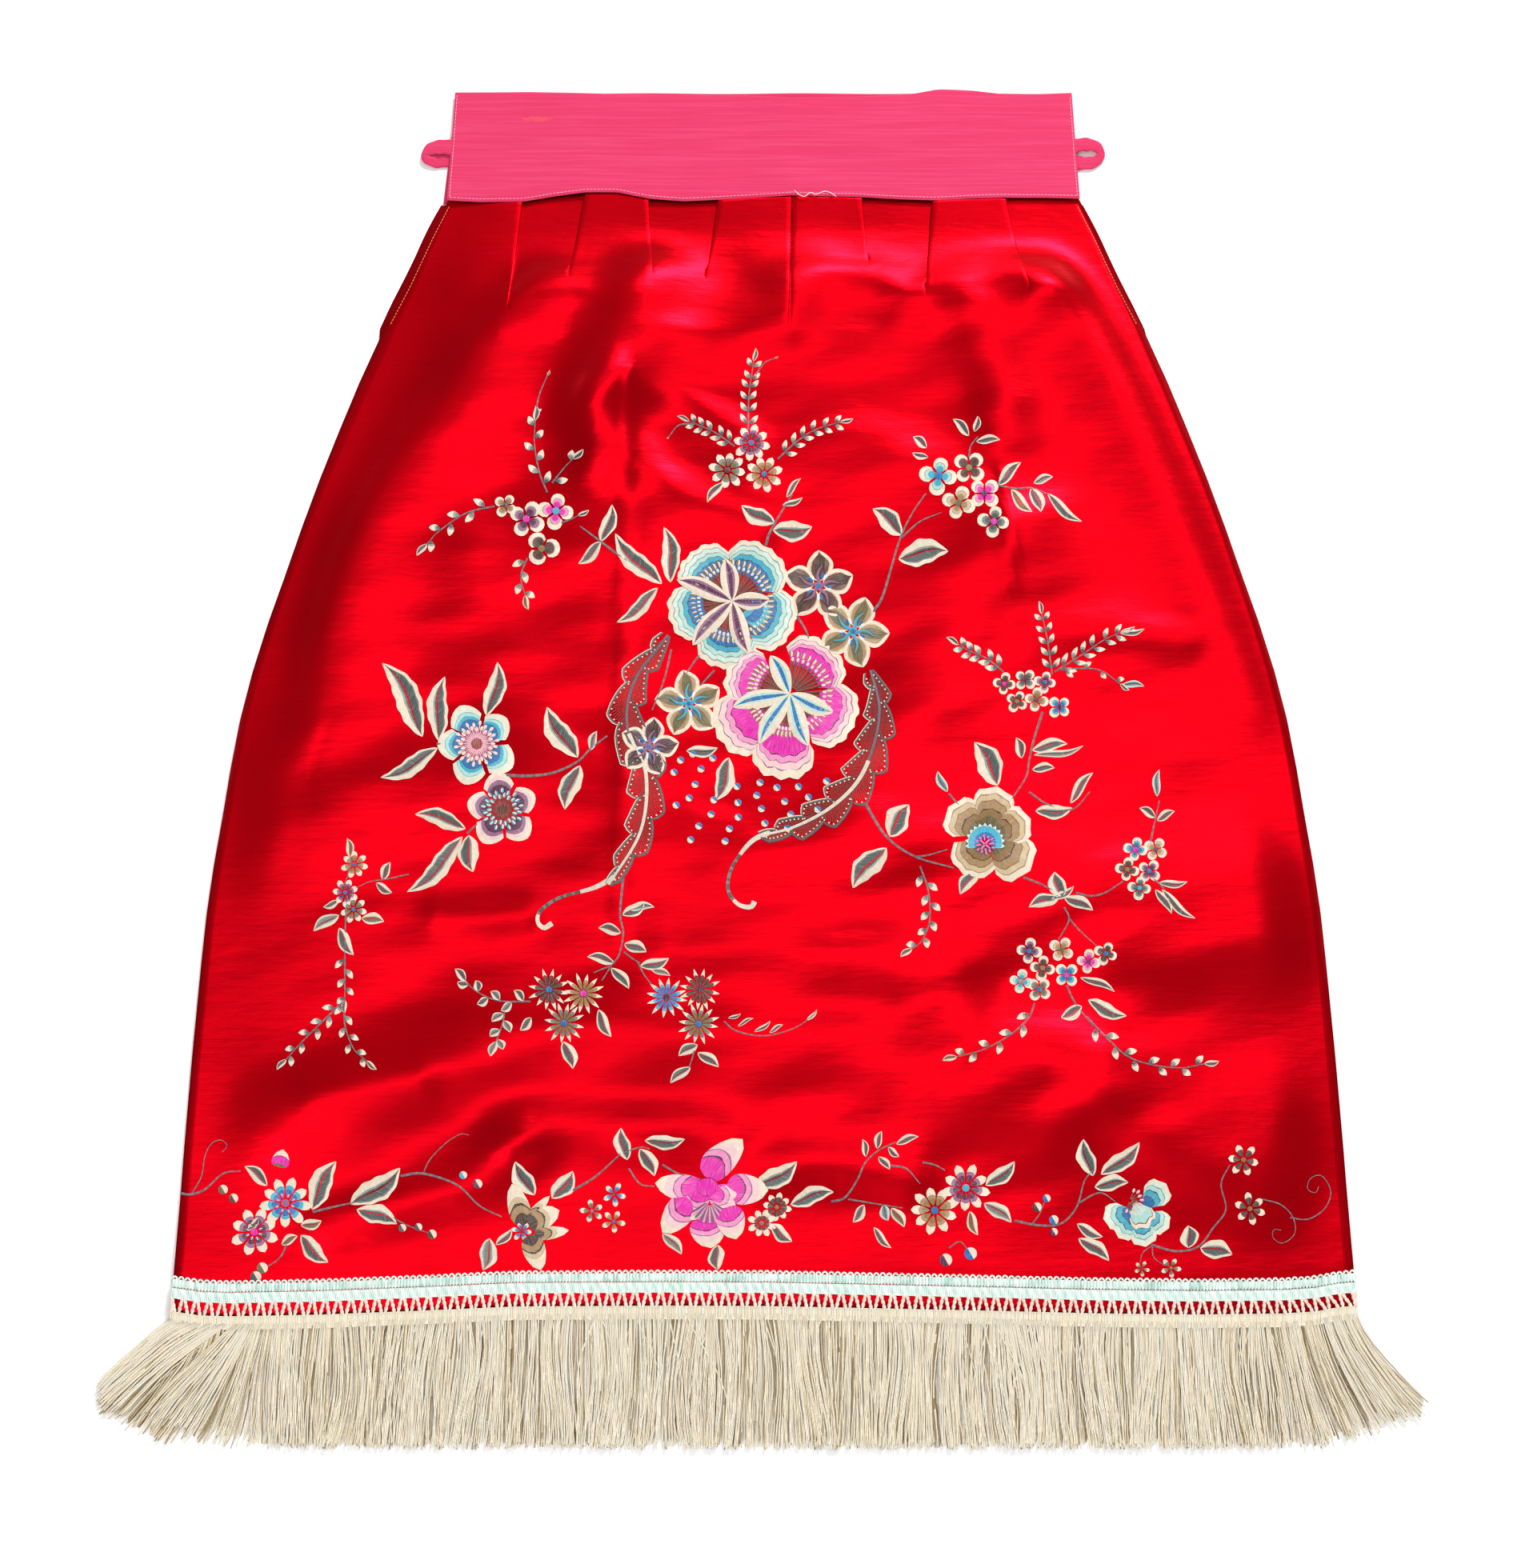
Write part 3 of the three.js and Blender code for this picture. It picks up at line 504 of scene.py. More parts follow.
def cotton_shade():
    cotton, light = cloth_settings().cotton, cloth_settings().cotton_slub
    s = Shade("cotton_band", Roughness=0.88, Sheen_Weight=0.25, Sheen_Roughness=0.5,
              Specular_IOR_Level=0.25)
    across = s.wave(1050, (0, 1, 0), 1.5)
    up = s.wave(1050, (1, 0, 0), 1.5)
    slub = s.noise(120, (0.12, 5, 1), 3)
    pink = s.mix(s.times(s.ramp(slub, 0.35, 0.8), 0.45), scaled(cotton), scaled(light))
    pink = s.mix(s.times(s.ramp(s.noise(14), 0.4, 0.7), 0.25), pink, scaled(cotton, 0.91))
    pink = s.mix(s.times(s.times(across, up), 0.3), pink, scaled(cotton, 0.74))
    axes = s.node("ShaderNodeSeparateXYZ", {0: s.place})
    wide = s.math("DIVIDE", s.math("SUBTRACT", axes.outputs[0], MARK_X), MARK_WIDE)
    tall = s.math("DIVIDE", s.math("SUBTRACT", axes.outputs[1], MARK_Y), MARK_TALL)
    far = s.math("ADD", s.math("POWER", s.math("ABSOLUTE", wide), 2.0),
                 s.math("POWER", s.math("ABSOLUTE", tall), 2.0))
    far = s.math("MULTIPLY_ADD", s.noise(420, (0.5, 1, 1)), 2.2, far)
    stain = s.math("SUBTRACT", 1.0, s.ramp(far, 1.0, 2.3))
    s.colour(s.mix(s.times(stain, 0.4), pink, tone(230, 96, 60)))
    s.bump(s.math("ADD", across, up), 0.00012, 0.5)
    s.bump(slub, 0.00012, 0.5)
    s.bump(s.noise(22, detail=2), 0.0012, 0.3)
    return s.material


def braid_shade():
    s = Shade("gimp_braid", Roughness=0.5, Sheen_Weight=0.2, Sheen_Roughness=0.5,
              Specular_IOR_Level=0.4)
    base = s.node("ShaderNodeAttribute", attribute_name="thread").outputs["Color"]
    worn = s.ramp(s.noise(300, (1, 0.6, 1), 2), 0.35, 0.7)
    s.colour(s.mix(s.times(worn, 0.5), base, tone(240, 252, 246)))
    s.bump(s.wave(330, (1, 0.25, 0), 2.0), 0.0003, 0.8)
    return s.material


def thread_shade(name, roughness, fine, relief):
    s = Shade(name, Roughness=roughness, Sheen_Weight=0.25, Sheen_Roughness=0.45,
              Specular_IOR_Level=0.4)
    base = s.node("ShaderNodeAttribute", attribute_name="thread").outputs["Color"]
    twist = s.wave(fine, (1, 1, 1), 3.0)
    # The twist's grooves are multiplied towards a tan tone: a painted shade in the grooves, beside the
    # twist's bump.
    s.colour(s.mix(s.times(twist, 0.16), base, tone(190, 170, 128), "MULTIPLY"))
    s.bump(twist, relief, 0.7)
    return s.material


def embroidery_shade():
    s = Shade("embroidery_thread", Roughness=0.42, Anisotropic=0.5, Sheen_Weight=0.15,
              Sheen_Roughness=0.4, Specular_IOR_Level=0.45)
    base = s.node("ShaderNodeAttribute", attribute_name="thread").outputs["Color"]
    lay = s.node("ShaderNodeUVMap", uv_map="lay").outputs[0]
    strand = s.wave(0.62, (1, 0.02, 0), 1.2, lay)
    sheen_streak = s.noise(1.1, (2.6, 0.12, 1), 2, lay)
    shadow = s.mix(s.times(s.math("SUBTRACT", 1.0, strand), 0.24), base,
                   tone(120, 105, 95), "MULTIPLY")
    # Streaks along the threads are screened towards near white: a painted sheen on the silk floss.
    s.colour(s.mix(s.times(s.ramp(sheen_streak, 0.45, 0.75), 0.22), shadow,
                   tone(255, 250, 240), "SCREEN"))
    s.bump(strand, 0.00022, 0.7)
    return s.material


SHADES = {}


def shade(name):
    """The material of a slot, made once."""
    makers = {
        "silk_satin": satin_shade,
        "cotton_band": cotton_shade,
        "gimp_braid": braid_shade,
        "trim_thread": lambda: thread_shade("trim_thread", 0.6, 600, 0.0002),
        "fringe_thread": lambda: thread_shade("fringe_thread", 0.62, 700, 0.0002),
        "embroidery_thread": embroidery_shade,
    }
    if name not in SHADES:
        SHADES[name] = makers[name]()
    return SHADES[name]


# The front panel's columns across one pleat: flat place, part, and angle on a rolled edge.
Column = namedtuple("Column", "u part angle")
ROLL = [90, 45, 0, -45, -90]
PLEAT_COLUMNS = (
    [Column(-8, "over", 0), Column(-5, "over_near", 0)]
    + [Column(mix(-2.4, 1.9, i / 4), "edge", a) for i, a in enumerate(ROLL)]
    + [Column(4, "middle", 0)]
    + [Column(mix(6.1, 10.4, i / 4), "inner", a) for i, a in enumerate(ROLL)]
    + [Column(13, "under_near", 0), Column(16, "under", 0)]
)


def panel_grid(settings):
    """Places of the front panel's mid surface, row by row from the waistband to the hem."""
    rows = int((BAND_LOW - HEM - TOP_ROWS) / (settings.row_step / MM))
    d = np.concatenate([np.arange(0, TOP_ROWS, TOP_STEP), np.linspace(TOP_ROWS, BAND_LOW - HEM, rows)])
    y0 = BAND_LOW - d
    wide = half_width(y0)
    hidden = 2 * UNDERLAP * len(PLEATS)
    half_flat = BAND_HALF + hidden / 2
    stops = [(-half_flat, -wide, np.zeros(len(d)))]
    gaps = []
    for k, p in enumerate(PLEATS):
        folded = 2 * UNDERLAP * k + (0 if p.looks > 0 else 2 * UNDERLAP) - hidden / 2
        opened = np.clip(d / p.length, 0, 1)
        edge = mix(p.at, p.opens, opened)
        lap = UNDERLAP * (1 - opened ** 1.4)
        faces_one = p.looks > 0 and k + 1 < len(PLEATS) and PLEATS[k + 1].at - p.at < 1
        faces_one = faces_one or (p.looks < 0 and k and p.at - PLEATS[k - 1].at < 1)
        away = np.maximum(lap, 5)
        away_under = lap if faces_one else away
        roll = ROLL_HALF * smooth(lap / 3)
        layer = LAYER * (lap / UNDERLAP) ** 0.7
        spread = smooth((d - p.length) / SPREAD_OVER)
        columns = PLEAT_COLUMNS if p.looks > 0 else PLEAT_COLUMNS[::-1]
        for i, c in enumerate(columns):
            sine, cosine = math.sin(math.radians(c.angle)), math.cos(math.radians(c.angle))
            off = {
                "over": -away, "over_near": -0.55 * away, "edge": -roll * (1 - cosine),
                "middle": -lap / 2, "inner": -lap + roll * (1 - cosine),
                "under_near": -lap + 0.55 * away_under, "under": -lap + away_under,
            }[c.part]
            level = {
                "over": 2, "over_near": 2, "edge": 1.5 + 0.5 * sine, "middle": 1,
                "inner": 0.5 + 0.5 * sine, "under_near": 0, "under": 0,
            }[c.part]
            rank = 0.03 * (i - len(columns) / 2)
            u = p.at + folded + p.looks * c.u
            x = mix(edge + p.looks * off + rank, u / half_flat * wide, spread)
            if i == 0:
                gaps.append(len(stops))
            stops.append((u, x, level * layer))
    gaps.append(len(stops))
    stops.append((half_flat, wide, np.zeros(len(d))))
    xs, levels = [], []
    for i, (u, x, level) in enumerate(stops):
        if i in gaps:
            before = stops[i - 1]
            count = max(1, int((u - before[0]) / FLAT_STEP))
            for t in np.linspace(0, 1, count + 1)[1:-1]:
                xs.append(mix(before[1], x, t))
                levels.append(mix(before[2], level, smooth(t)))
        xs.append(x)
        levels.append(level)
    x, level = np.array(xs).T, np.array(levels).T
    lift = np.maximum(0, 1 - d / 80)[:, None]
    y = y0[:, None] + (band_low(x) + 1.5 - BAND_LOW) * lift
    z = loft(x, y, settings.folds) + level
    return x, y + hem_shift(x, y), z


class Ground:
    """The height of the front panel's mid surface at any place."""

    STEP = 2.0
    LEFT, RIGHT, LOW, TOP = -362, 362.1, -374, 376.1
    ABOVE = 60

    def __init__(self, points, faces):
        tree = BVHTree.FromPolygons(points.tolist(), faces.tolist())
        self.x = np.arange(self.LEFT, self.RIGHT, self.STEP)
        self.y = np.arange(self.LOW, self.TOP, self.STEP)
        self.z = np.full((len(self.y), len(self.x)), REST + RISE)
        down = Vector((0, 0, -1))
        for r, y in enumerate(self.y):
            for c, x in enumerate(self.x):
                hit = tree.ray_cast(Vector((x, y, self.ABOVE)), down)[0]
                if hit:
                    self.z[r, c] = hit.z

    def at(self, x, y):
        u = np.clip((x - self.x[0]) / self.STEP, 0, len(self.x) - 1.001)
        v = np.clip((y - self.y[0]) / self.STEP, 0, len(self.y) - 1.001)
        i, j = u.astype(int), v.astype(int)
        s, t = u - i, v - j
        low = mix(self.z[j, i], self.z[j, i + 1], s)
        high = mix(self.z[j + 1, i], self.z[j + 1, i + 1], s)
        return mix(low, high, t)


MADE = {}


def make_front_panel():
    settings = cloth_settings()
    x, y, z = panel_grid(settings)
    points = np.stack([x, y, z], axis=-1).reshape(-1, 3)
    faces = grid_faces(*x.shape)
    MADE["ground"] = Ground(points, faces)
    MADE["cloth_half"] = settings.wall / MM / 2
    piece = mesh_piece("front_cloth", points, faces.tolist(), shade("silk_satin"))
    thicken(piece, settings.wall / MM)
    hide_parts("front_panel")


def make_back_panel():
    y = np.concatenate([np.arange(BACK_TOP, RISE_FROM, -9.0), np.linspace(RISE_FROM, HEM, 9)])
    peek = smooth((y - PEEK_FROM) / 12)
    waver = 0.5 * np.sin(y / 23) + 0.4 * np.sin(y / 9.0)
    left = -half_width(y) - (3.8 + waver) * peek + 0.6 * (1 - peek)
    right = half_width(y) + (1.8 + 0.6 * waver) * peek - 0.6 * (1 - peek)
    across = np.linspace(0, 1, 49)
    x = mix(left[:, None], right[:, None], across[None])
    yy = np.repeat(y[:, None], len(across), axis=1)
    z = 0.75 + rise(y)[:, None] + 0.12 * np.sin(x / 31) * np.sin(yy / 27)
    points = np.stack([x, yy + hem_shift(x, yy), z], axis=-1).reshape(-1, 3)
    piece = mesh_piece("back_cloth", points, grid_faces(*x.shape).tolist(),
                       shade("silk_satin"))
    thicken(piece, cloth_settings().wall / MM)
    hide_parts("back_panel")


def band_grid(left, right):
    """A folded waistband: a pillow a little over a millimetre thick with rounded edges."""
    across = np.concatenate([[0, 0.0012, 0.004], np.linspace(0.012, 0.988, 118), [0.996, 0.9988, 1]])
    up = np.concatenate([[0, 0.006, 0.02], np.linspace(0.05, 0.95, 26), [0.98, 0.994, 1]])
    t, s = np.meshgrid(up, across, indexing="ij")
    low_x = mix(left[0], right[0], s)
    top_x = mix(left[1], right[1], s)
    x = mix(low_x, top_x, t)
    rim = np.minimum(np.minimum(t, 1 - t) * BAND_TALL, np.minimum(s, 1 - s) * BAND_WIDE)
    round_off = np.sqrt(np.clip(1 - (1 - np.clip(rim / BAND_ROUND, 0, 1)) ** 2, 0, 1))
    return x, t, round_off


def pillow(name, x, y, top, low, slot):
    """A closed sheet between an upper and a lower face."""
    rows, cols = x.shape
    points = np.concatenate([
        np.stack([x, y, top], axis=-1).reshape(-1, 3), np.stack([x, y, low], axis=-1).reshape(-1, 3)])
    upper = grid_faces(rows, cols)[:, ::-1]
    under = grid_faces(rows, cols, rows * cols)
    faces = upper.tolist() + under.tolist()
    n = rows * cols
    for c in range(cols - 1):
        faces.append([c, c + 1, n + c + 1, n + c])
        end = (rows - 1) * cols
        faces.append([end + c + 1, end + c, n + end + c, n + end + c + 1])
    for r in range(rows - 1):
        a, b = r * cols, (r + 1) * cols
        faces.append([b, a, n + a, n + b])
        faces.append([a + cols - 1, b + cols - 1, n + b + cols - 1, n + a + cols - 1])
    return mesh_piece(name, points, faces, shade(slot))


def make_waistbands():
    x, t, rounded = band_grid(*FRONT_ENDS)
    y = mix(band_low(x), band_top(x), t)
    bow = LOW_BOW.high * np.exp(-(((x - LOW_BOW.x) / LOW_BOW.wide) ** 2)) * (1 - t)
    for power, b in enumerate(TOP_BOWS, 1):
        bow += b.high * np.exp(-(((x - b.x) / b.wide) ** 2)) * t ** power
    base = mix(5.0, 3.0, smooth(t * 2.2))
    pleats = sum(0.22 * np.exp(-(((x - p.at) / 3.5) ** 2)) for p in PLEATS) * (1 - t) ** 3
    wave = 0.16 * np.sin(x / 19 + 2 * t) + 0.12 * np.sin(x / 7.3) * (1 - t)
    mid = base + bow + 0.5 * np.sin(math.pi * t) + pleats + wave
    half = 0.75 * rounded + 0.03
    front = pillow("front_band", x, y, mid + half, mid - half, "cotton_band")
    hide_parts("front_waistband")
    x, t, rounded = band_grid(*BACK_ENDS)
    y = mix(BACK_BAND_LOW, BACK_BAND_TOP, t) + 0.3 * np.sin(x / 17)
    half = 0.7 * rounded + 0.03
    back = pillow("back_band", x, y, 0.9 + half, 0.9 - half, "cotton_band")
    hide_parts("back_waistband")


def strap(path, wide, thick):
    """A flat tube pressed into a strap, following a path."""
    line = curve(path, 42)
    flat = line[:, :2]
    _, side = normals(flat)
    angle = np.arange(16) * math.pi / 8
    middle = np.abs(np.arange(len(line)) - len(line) / 2)
    pinch = 1 + 0.05 * np.sin(np.arange(len(line)) * 0.9) - 0.42 * np.exp(-((middle / 7) ** 2))
    off = np.sign(np.cos(angle)) * np.abs(np.cos(angle)) ** 0.7 * wide / 2
    up = np.sign(np.sin(angle)) * np.abs(np.sin(angle)) ** 0.7 * thick / 2
    crease = 0.16 * np.sin(off / wide * 9)[None] * np.sin(np.arange(len(line)) * 0.55)[:, None]
    xy = flat[:, None] + side[:, None] * off[None, :, None] * pinch[:, None, None]
    z = line[:, None, 2] + up[None] + crease
    return np.concatenate([xy, z[:, :, None]], axis=2)


# Each strap: its middle line, from the band out and back, and its width.
Strap = namedtuple("Strap", "name node path wide")
STRAPS = each(Strap, [
    ("loop_strap_left", "loop_left",
     [(-211.5, 407.2, 3.4), (-218, 407.6, 3.6), (-225, 406.4, 3.4), (-229.2, 402.6, 2.8),
      (-227, 398.6, 2.0), (-220, 398.4, 1.3), (-211.5, 400.4, 1.2)], 11.0),
    ("loop_strap_right", "loop_right",
     [(209.5, 408.2, 3.2), (217, 409.4, 3.5), (225, 408.4, 3.3), (229, 403.4, 2.6),
      (226, 398.2, 1.8), (219, 396.6, 1.3), (209.5, 397.6, 1.2)], 10.0),
])
STRAP_THICK = 1.5


def make_loops():
    for s in STRAPS:
        rings = strap(s.path, s.wide, STRAP_THICK)
        n, k, _ = rings.shape
        faces = grid_faces(n, k, closed=True).tolist()
        faces += [list(range(k)), [(n - 1) * k + j for j in reversed(range(k))]]
        piece = mesh_piece(s.name, rings.reshape(-1, 3), faces, shade("cotton_band"))
        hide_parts(s.node)


# Thread colours, as seen.
INK = {
    "cream": (242, 226, 202), "pale": (226, 222, 205), "mint": (178, 226, 216),
    "palemint": (214, 236, 224), "turquoise": (52, 178, 208), "blue": (0, 112, 182),
    "slate": (66, 84, 84), "grey": (120, 128, 120), "olive": (112, 98, 58),
    "bronze": (150, 112, 60), "brown": (72, 42, 32), "plum": (88, 24, 72),
    "mauve": (158, 100, 140), "magenta": (238, 10, 176), "pink": (250, 150, 200),
    "blush": (250, 208, 208), "stem": (112, 96, 112), "tan": (176, 140, 96),
    "wine": (132, 26, 30), "rust": (150, 62, 48), "sand": (214, 190, 150), "white": (248, 240, 226),
    "ash": (150, 162, 152), "teal": (84, 148, 152), "umber": (104, 44, 34),
}
MIDS = {
    "plum": "mauve", "olive": "grey", "bronze": "tan", "blue": "turquoise", "turquoise": "mint",
    "brown": "umber", "magenta": "pink", "tan": "sand", "slate": "grey", "grey": "pale",
}
THREAD = {name: rgb(*seen) for name, seen in INK.items()}


def threads(names):
    return np.array([THREAD[n] for n in names])


def span(base, tip):
    """A leaf's foot, the way to its tip, its length and the unit way across it."""
    base = np.array(base, dtype=float)
    axis = np.array(tip, dtype=float) - base
    long = float(np.hypot(*axis))
    return base, axis, long, np.array([-axis[1], axis[0]]) / long


def lens(t, peak, full):
    """Half width of a leaf along its length, widest at peak; a lower full is a fuller leaf."""
    bent = np.clip(t, 0, 1) ** (math.log(0.5) / math.log(peak))
    return np.sin(math.pi * bent) ** full


# A leaf's two halves: bands from the midrib outward, (where it ends at mid length, tone).
LEAVES = {
    "slate": ([(0.58, "slate"), (0.7, "grey"), (1, "cream")],
              [(0.2, "slate"), (0.36, "ash"), (1, "cream")]),
    "olive": ([(0.56, "olive"), (0.7, "ash"), (1, "cream")],
              [(0.24, "olive"), (0.4, "sand"), (1, "cream")]),
    "grey": ([(0.5, "grey"), (0.68, "ash"), (1, "pale")],
             [(0.22, "slate"), (0.45, "ash"), (1, "cream")]),
    "pale": ([(0.4, "ash"), (0.6, "pale"), (1, "cream")],
             [(0.3, "grey"), (0.5, "pale"), (1, "cream")]),
    "turquoise": ([(0.5, "teal"), (0.7, "mint"), (1, "pale")],
                  [(0.3, "slate"), (0.5, "teal"), (1, "mint")]),
}
# Bands of a broad petal from its base to its rim.
BROADS = {
    "blue": [(0.34, "blue"), (0.37, "slate"), (0.52, "turquoise"), (0.66, "mint"), (0.69, "ash"),
             (0.8, "palemint"), (1, "cream")],
    "plum": [(0.4, "plum"), (0.43, "brown"), (0.6, "mauve"), (0.63, "grey"), (0.8, "blush"), (1, "cream")],
}


class Stitching:
    """Quads of thread, drawn on the page and laid on the cloth."""

    BEAT = 5.0  # a stem's colours change after this many steps of the page

    def __init__(self, seed):
        self.x, self.y, self.lift, self.tones, self.lay, self.faces = [], [], [], [], [], []
        self.count = 0
        self.random = np.random.default_rng(seed)

    def patch(self, x, y, lift, tones, u, v):
        rows, cols = x.shape
        self.faces.append(grid_faces(rows, cols, self.count))
        self.count += rows * cols
        for store, value in ((self.x, x), (self.y, y), (self.lift, lift)):
            store.append(np.broadcast_to(value, x.shape).ravel())
        self.lay.append(np.stack([u.ravel(), v.ravel()], axis=1) * PAGE_SCALE)
        tones = np.broadcast_to(tones, (rows - 1, cols - 1, 3)).reshape(-1, 3)
        self.tones.append(tones * self.random.uniform(0.93, 1.05, (len(tones), 1)))

    def ribbon(self, line, half, names, layer=1, dome=0.3):
        """A corded line of stitches; half is its half width, one value or one a point."""
        line = np.asarray(line, dtype=float)
        _, side = normals(line)
        half = np.broadcast_to(half, (len(line),))
        s = np.array([-1, -0.45, 0.45, 1])
        x = line[:, :1] + side[:, :1] * half[:, None] * s
        y = line[:, 1:] + side[:, 1:] * half[:, None] * s
        run = np.concatenate([[0], np.cumsum(np.linalg.norm(np.diff(line, axis=0), axis=1))])
        pick = (run[:-1] / self.BEAT).astype(int) % len(names)
        tones = threads(names)[pick][:, None]
        lift = self.base(layer) + dome * np.sqrt(np.clip(1 - s ** 2, 0, 1))[None] + 0 * x
        u = run[:, None] + s[None] * half[:, None]
        self.patch(x, y, lift, tones, u, 0 * x)

    def base(self, layer):
        return 0.1 + 0.16 * layer

    def stem(self, points, half):
        reach = sum(math.dist(a, b) for a, b in zip(points, points[1:]))
        line = curve(points, max(6, int(reach / 3.5)))
        self.ribbon(line, half * np.linspace(1, 0.5, len(line)), ("stem", "grey"))
        return line

    def blade(self, base, tip, width, bands, bend=0.0, layer=1, peak=0.45, full=0.8, split=0.05,
              wavy=0.0, dome=0.32, slant=0.9, core=(0.16, 0.34)):
        """A leaf or a pointed petal, in two halves of bands beside its midrib."""
        base, axis, long, side_way = span(base, tip)
        rows = int(np.clip(long / 2.1, 9, 26))
        t = np.linspace(0, 1, rows + 1)
        bow = bend * long * (np.sin(math.pi * t) - 0.35 * np.sin(2 * math.pi * t))
        centre = base[None] + t[:, None] * axis[None] + bow[:, None] * side_way[None]
        half = width / 2 * (lens(t, peak, full) + 0.015)
        deep = smooth(t / core[0]) * smooth((1.04 - t) / core[1])
        for side, halves in zip((1, -1), bands):
            wave = 1 + wavy * np.sin(t * long / 3.1 + side)
            reach = half * wave
            stops = [np.full(t.shape, split)]
            for end, _ in halves[:-1]:
                ragged = self.random.uniform(-0.045, 0.045, t.shape)
                stops.append(split + (end - split) * deep * (1 + ragged))
            stops += [stops[-1] + (1 - stops[-1]) * 0.55, np.ones(t.shape)]
            share = np.stack(stops, axis=1)
            off = side * share * reach[:, None]
            x = centre[:, :1] + off * side_way[0]
            y = centre[:, 1:] + off * side_way[1]
            arch = np.sin(math.pi * np.clip((share - split) / (1 - split), 0, 1)) ** 0.6
            end = np.clip(8 * np.minimum(t, 1 - t), 0, 1)
            lift = self.base(layer) + dome * arch * end[:, None]
            names = [name for _, name in halves] + [halves[-1][1]]
            tones = threads(names)[None] + np.zeros((rows, 1, 1))
            run = off if slant == 0 else t[:, None] * long - slant * np.abs(off)
            self.patch(x, y, lift, tones, run, t[:, None] * long + 0 * x)

    def spear(self, base, tip, width, stops, names, layer=1, peak=0.6, full=0.8, dome=0.3,
              rows=5, bend=0.0, across=4, arc=0.1):
        """A petal whose tones change from its base to its tip; stops are where each ends."""
        base, axis, long, side_way = span(base, tip)
        ends, shown = [0.0], []
        for end, name in zip(list(stops) + [1.0], names):
            steps = max(1, round((end - ends[-1]) * rows * 2))
            shown += [name] * steps
            ends += list(np.linspace(ends[-1], end, steps + 1)[1:])
        t = np.array(ends)
        s = np.linspace(-1, 1, across + 1)
        half = width / 2 * (lens(t, peak, full) + 0.02)
        inside = np.clip(4 * t * (1 - t), 0, 1)[:, None]
        tt = t[:, None] - arc * (s[None] ** 2) * inside
        tt = tt + self.random.uniform(-0.014, 0.014, tt.shape) * inside
        bow = bend * long * np.sin(math.pi * t)[:, None]
        x = base[0] + tt * axis[0] + (s[None] * half[:, None] + bow) * side_way[0]
        y = base[1] + tt * axis[1] + (s[None] * half[:, None] + bow) * side_way[1]
        lift = self.base(layer) + dome * np.sqrt(np.clip(1 - s ** 2, 0, 1))[None] * inside ** 0.3
        tones = threads(shown)[:, None] + np.zeros((1, across, 1))
        self.patch(x, y, lift, tones, s[None] * half[:, None], t[:, None] * long + 0 * x)

    def leaf(self, base, tip, width, kind, bend=0.06):
        wavy = 0.06 if width > 16 else 0.0
        self.blade(base, tip, width, LEAVES[kind], bend, 1, 0.47, 0.85, 0.06, wavy)

    def petal(self, centre, angle, inner, outer, half, bands, layer=1, scallops=0, depth=0.0,
              corner=0.3, narrow=1.0, dome=0.4, across=10, power=3.0):
        """A broad petal round a flower's centre, in bands of (where it ends, tone)."""
        s = np.linspace(-1, 1, across + 1)
        stops = [0.0]
        names = []
        for end, name in bands:
            steps = max(1, int((end - stops[-1]) * (outer - inner) / 6))
            names += [name] * steps
            stops += list(np.linspace(stops[-1], end, steps + 1)[1:])
        t = np.array(stops)
        ragged = np.zeros((len(t), len(s)))
        ragged[1:-1] = self.random.uniform(-0.012, 0.012, (len(t) - 2, len(s)))
        rim = outer * (1 - corner * np.abs(s) ** power) * (1 + depth * np.cos(scallops * math.pi * s))
        tt = t[:, None] + ragged
        r = inner + (rim[None] - inner) * tt
        a = math.radians(angle) + math.radians(half) * s[None] * mix(narrow, 1, tt)
        x, y = centre[0] + r * np.cos(a), centre[1] + r * np.sin(a)
        arch = np.sqrt(np.clip(1 - s ** 4, 0, 1))[None] * np.clip(7 * np.minimum(tt, 1 - tt), 0, 1)
        tones = threads(names)[:, None] + np.zeros((1, across, 1))
        self.patch(x, y, self.base(layer) + dome * arch, tones, a * outer * 0.8, r)

    def disc(self, centre, radius, names, layer, dome=0.45, sides=8, turn=0.0, stretch=1.0):
        """A padded dot; two names split it in halves, more take turns round it."""
        a = np.linspace(0, 2 * math.pi, sides + 1)
        r = np.array([0, 0.55, 1.0]) * radius
        long, short = r[:, None] * np.cos(a)[None] * stretch, r[:, None] * np.sin(a)[None]
        way = math.radians(turn)
        x = centre[0] + long * math.cos(way) - short * math.sin(way)
        y = centre[1] + long * math.sin(way) + short * math.cos(way)
        lift = self.base(layer) + dome * np.sqrt(1 - (r / radius * 0.98) ** 2)[:, None] + 0 * x
        pick = np.zeros((2, sides), dtype=int)
        if len(names) == 2:
            pick[:] = (np.arange(sides) >= sides // 2).astype(int)
        if len(names) > 2:
            pick[:] = np.arange(sides) % len(names)
        tones = threads(names)[pick]
        self.patch(x, y, lift, tones, x, y)

    def ring(self, centre, radius, count, names, seed_radius, stalk, turn, layer, spread=360,
             line=("rust", "wine")):
        """Seeds round a centre, each with a stalk from the stalk radius outward."""
        for i in range(count):
            a = turn + spread * (i + 0.5) / count
            way = toward(a)
            reach = radius * (0.9 + 0.1 * (i % 2))
            end = np.array(centre) + way * reach
            if stalk is not None:
                start = np.array(centre) + way * stalk
                self.ribbon(np.linspace(start, end, 5), 0.7, line, layer - 1, 0.2)
            self.disc(end, seed_radius, names, layer, 0.35, 6, a, 1.6)

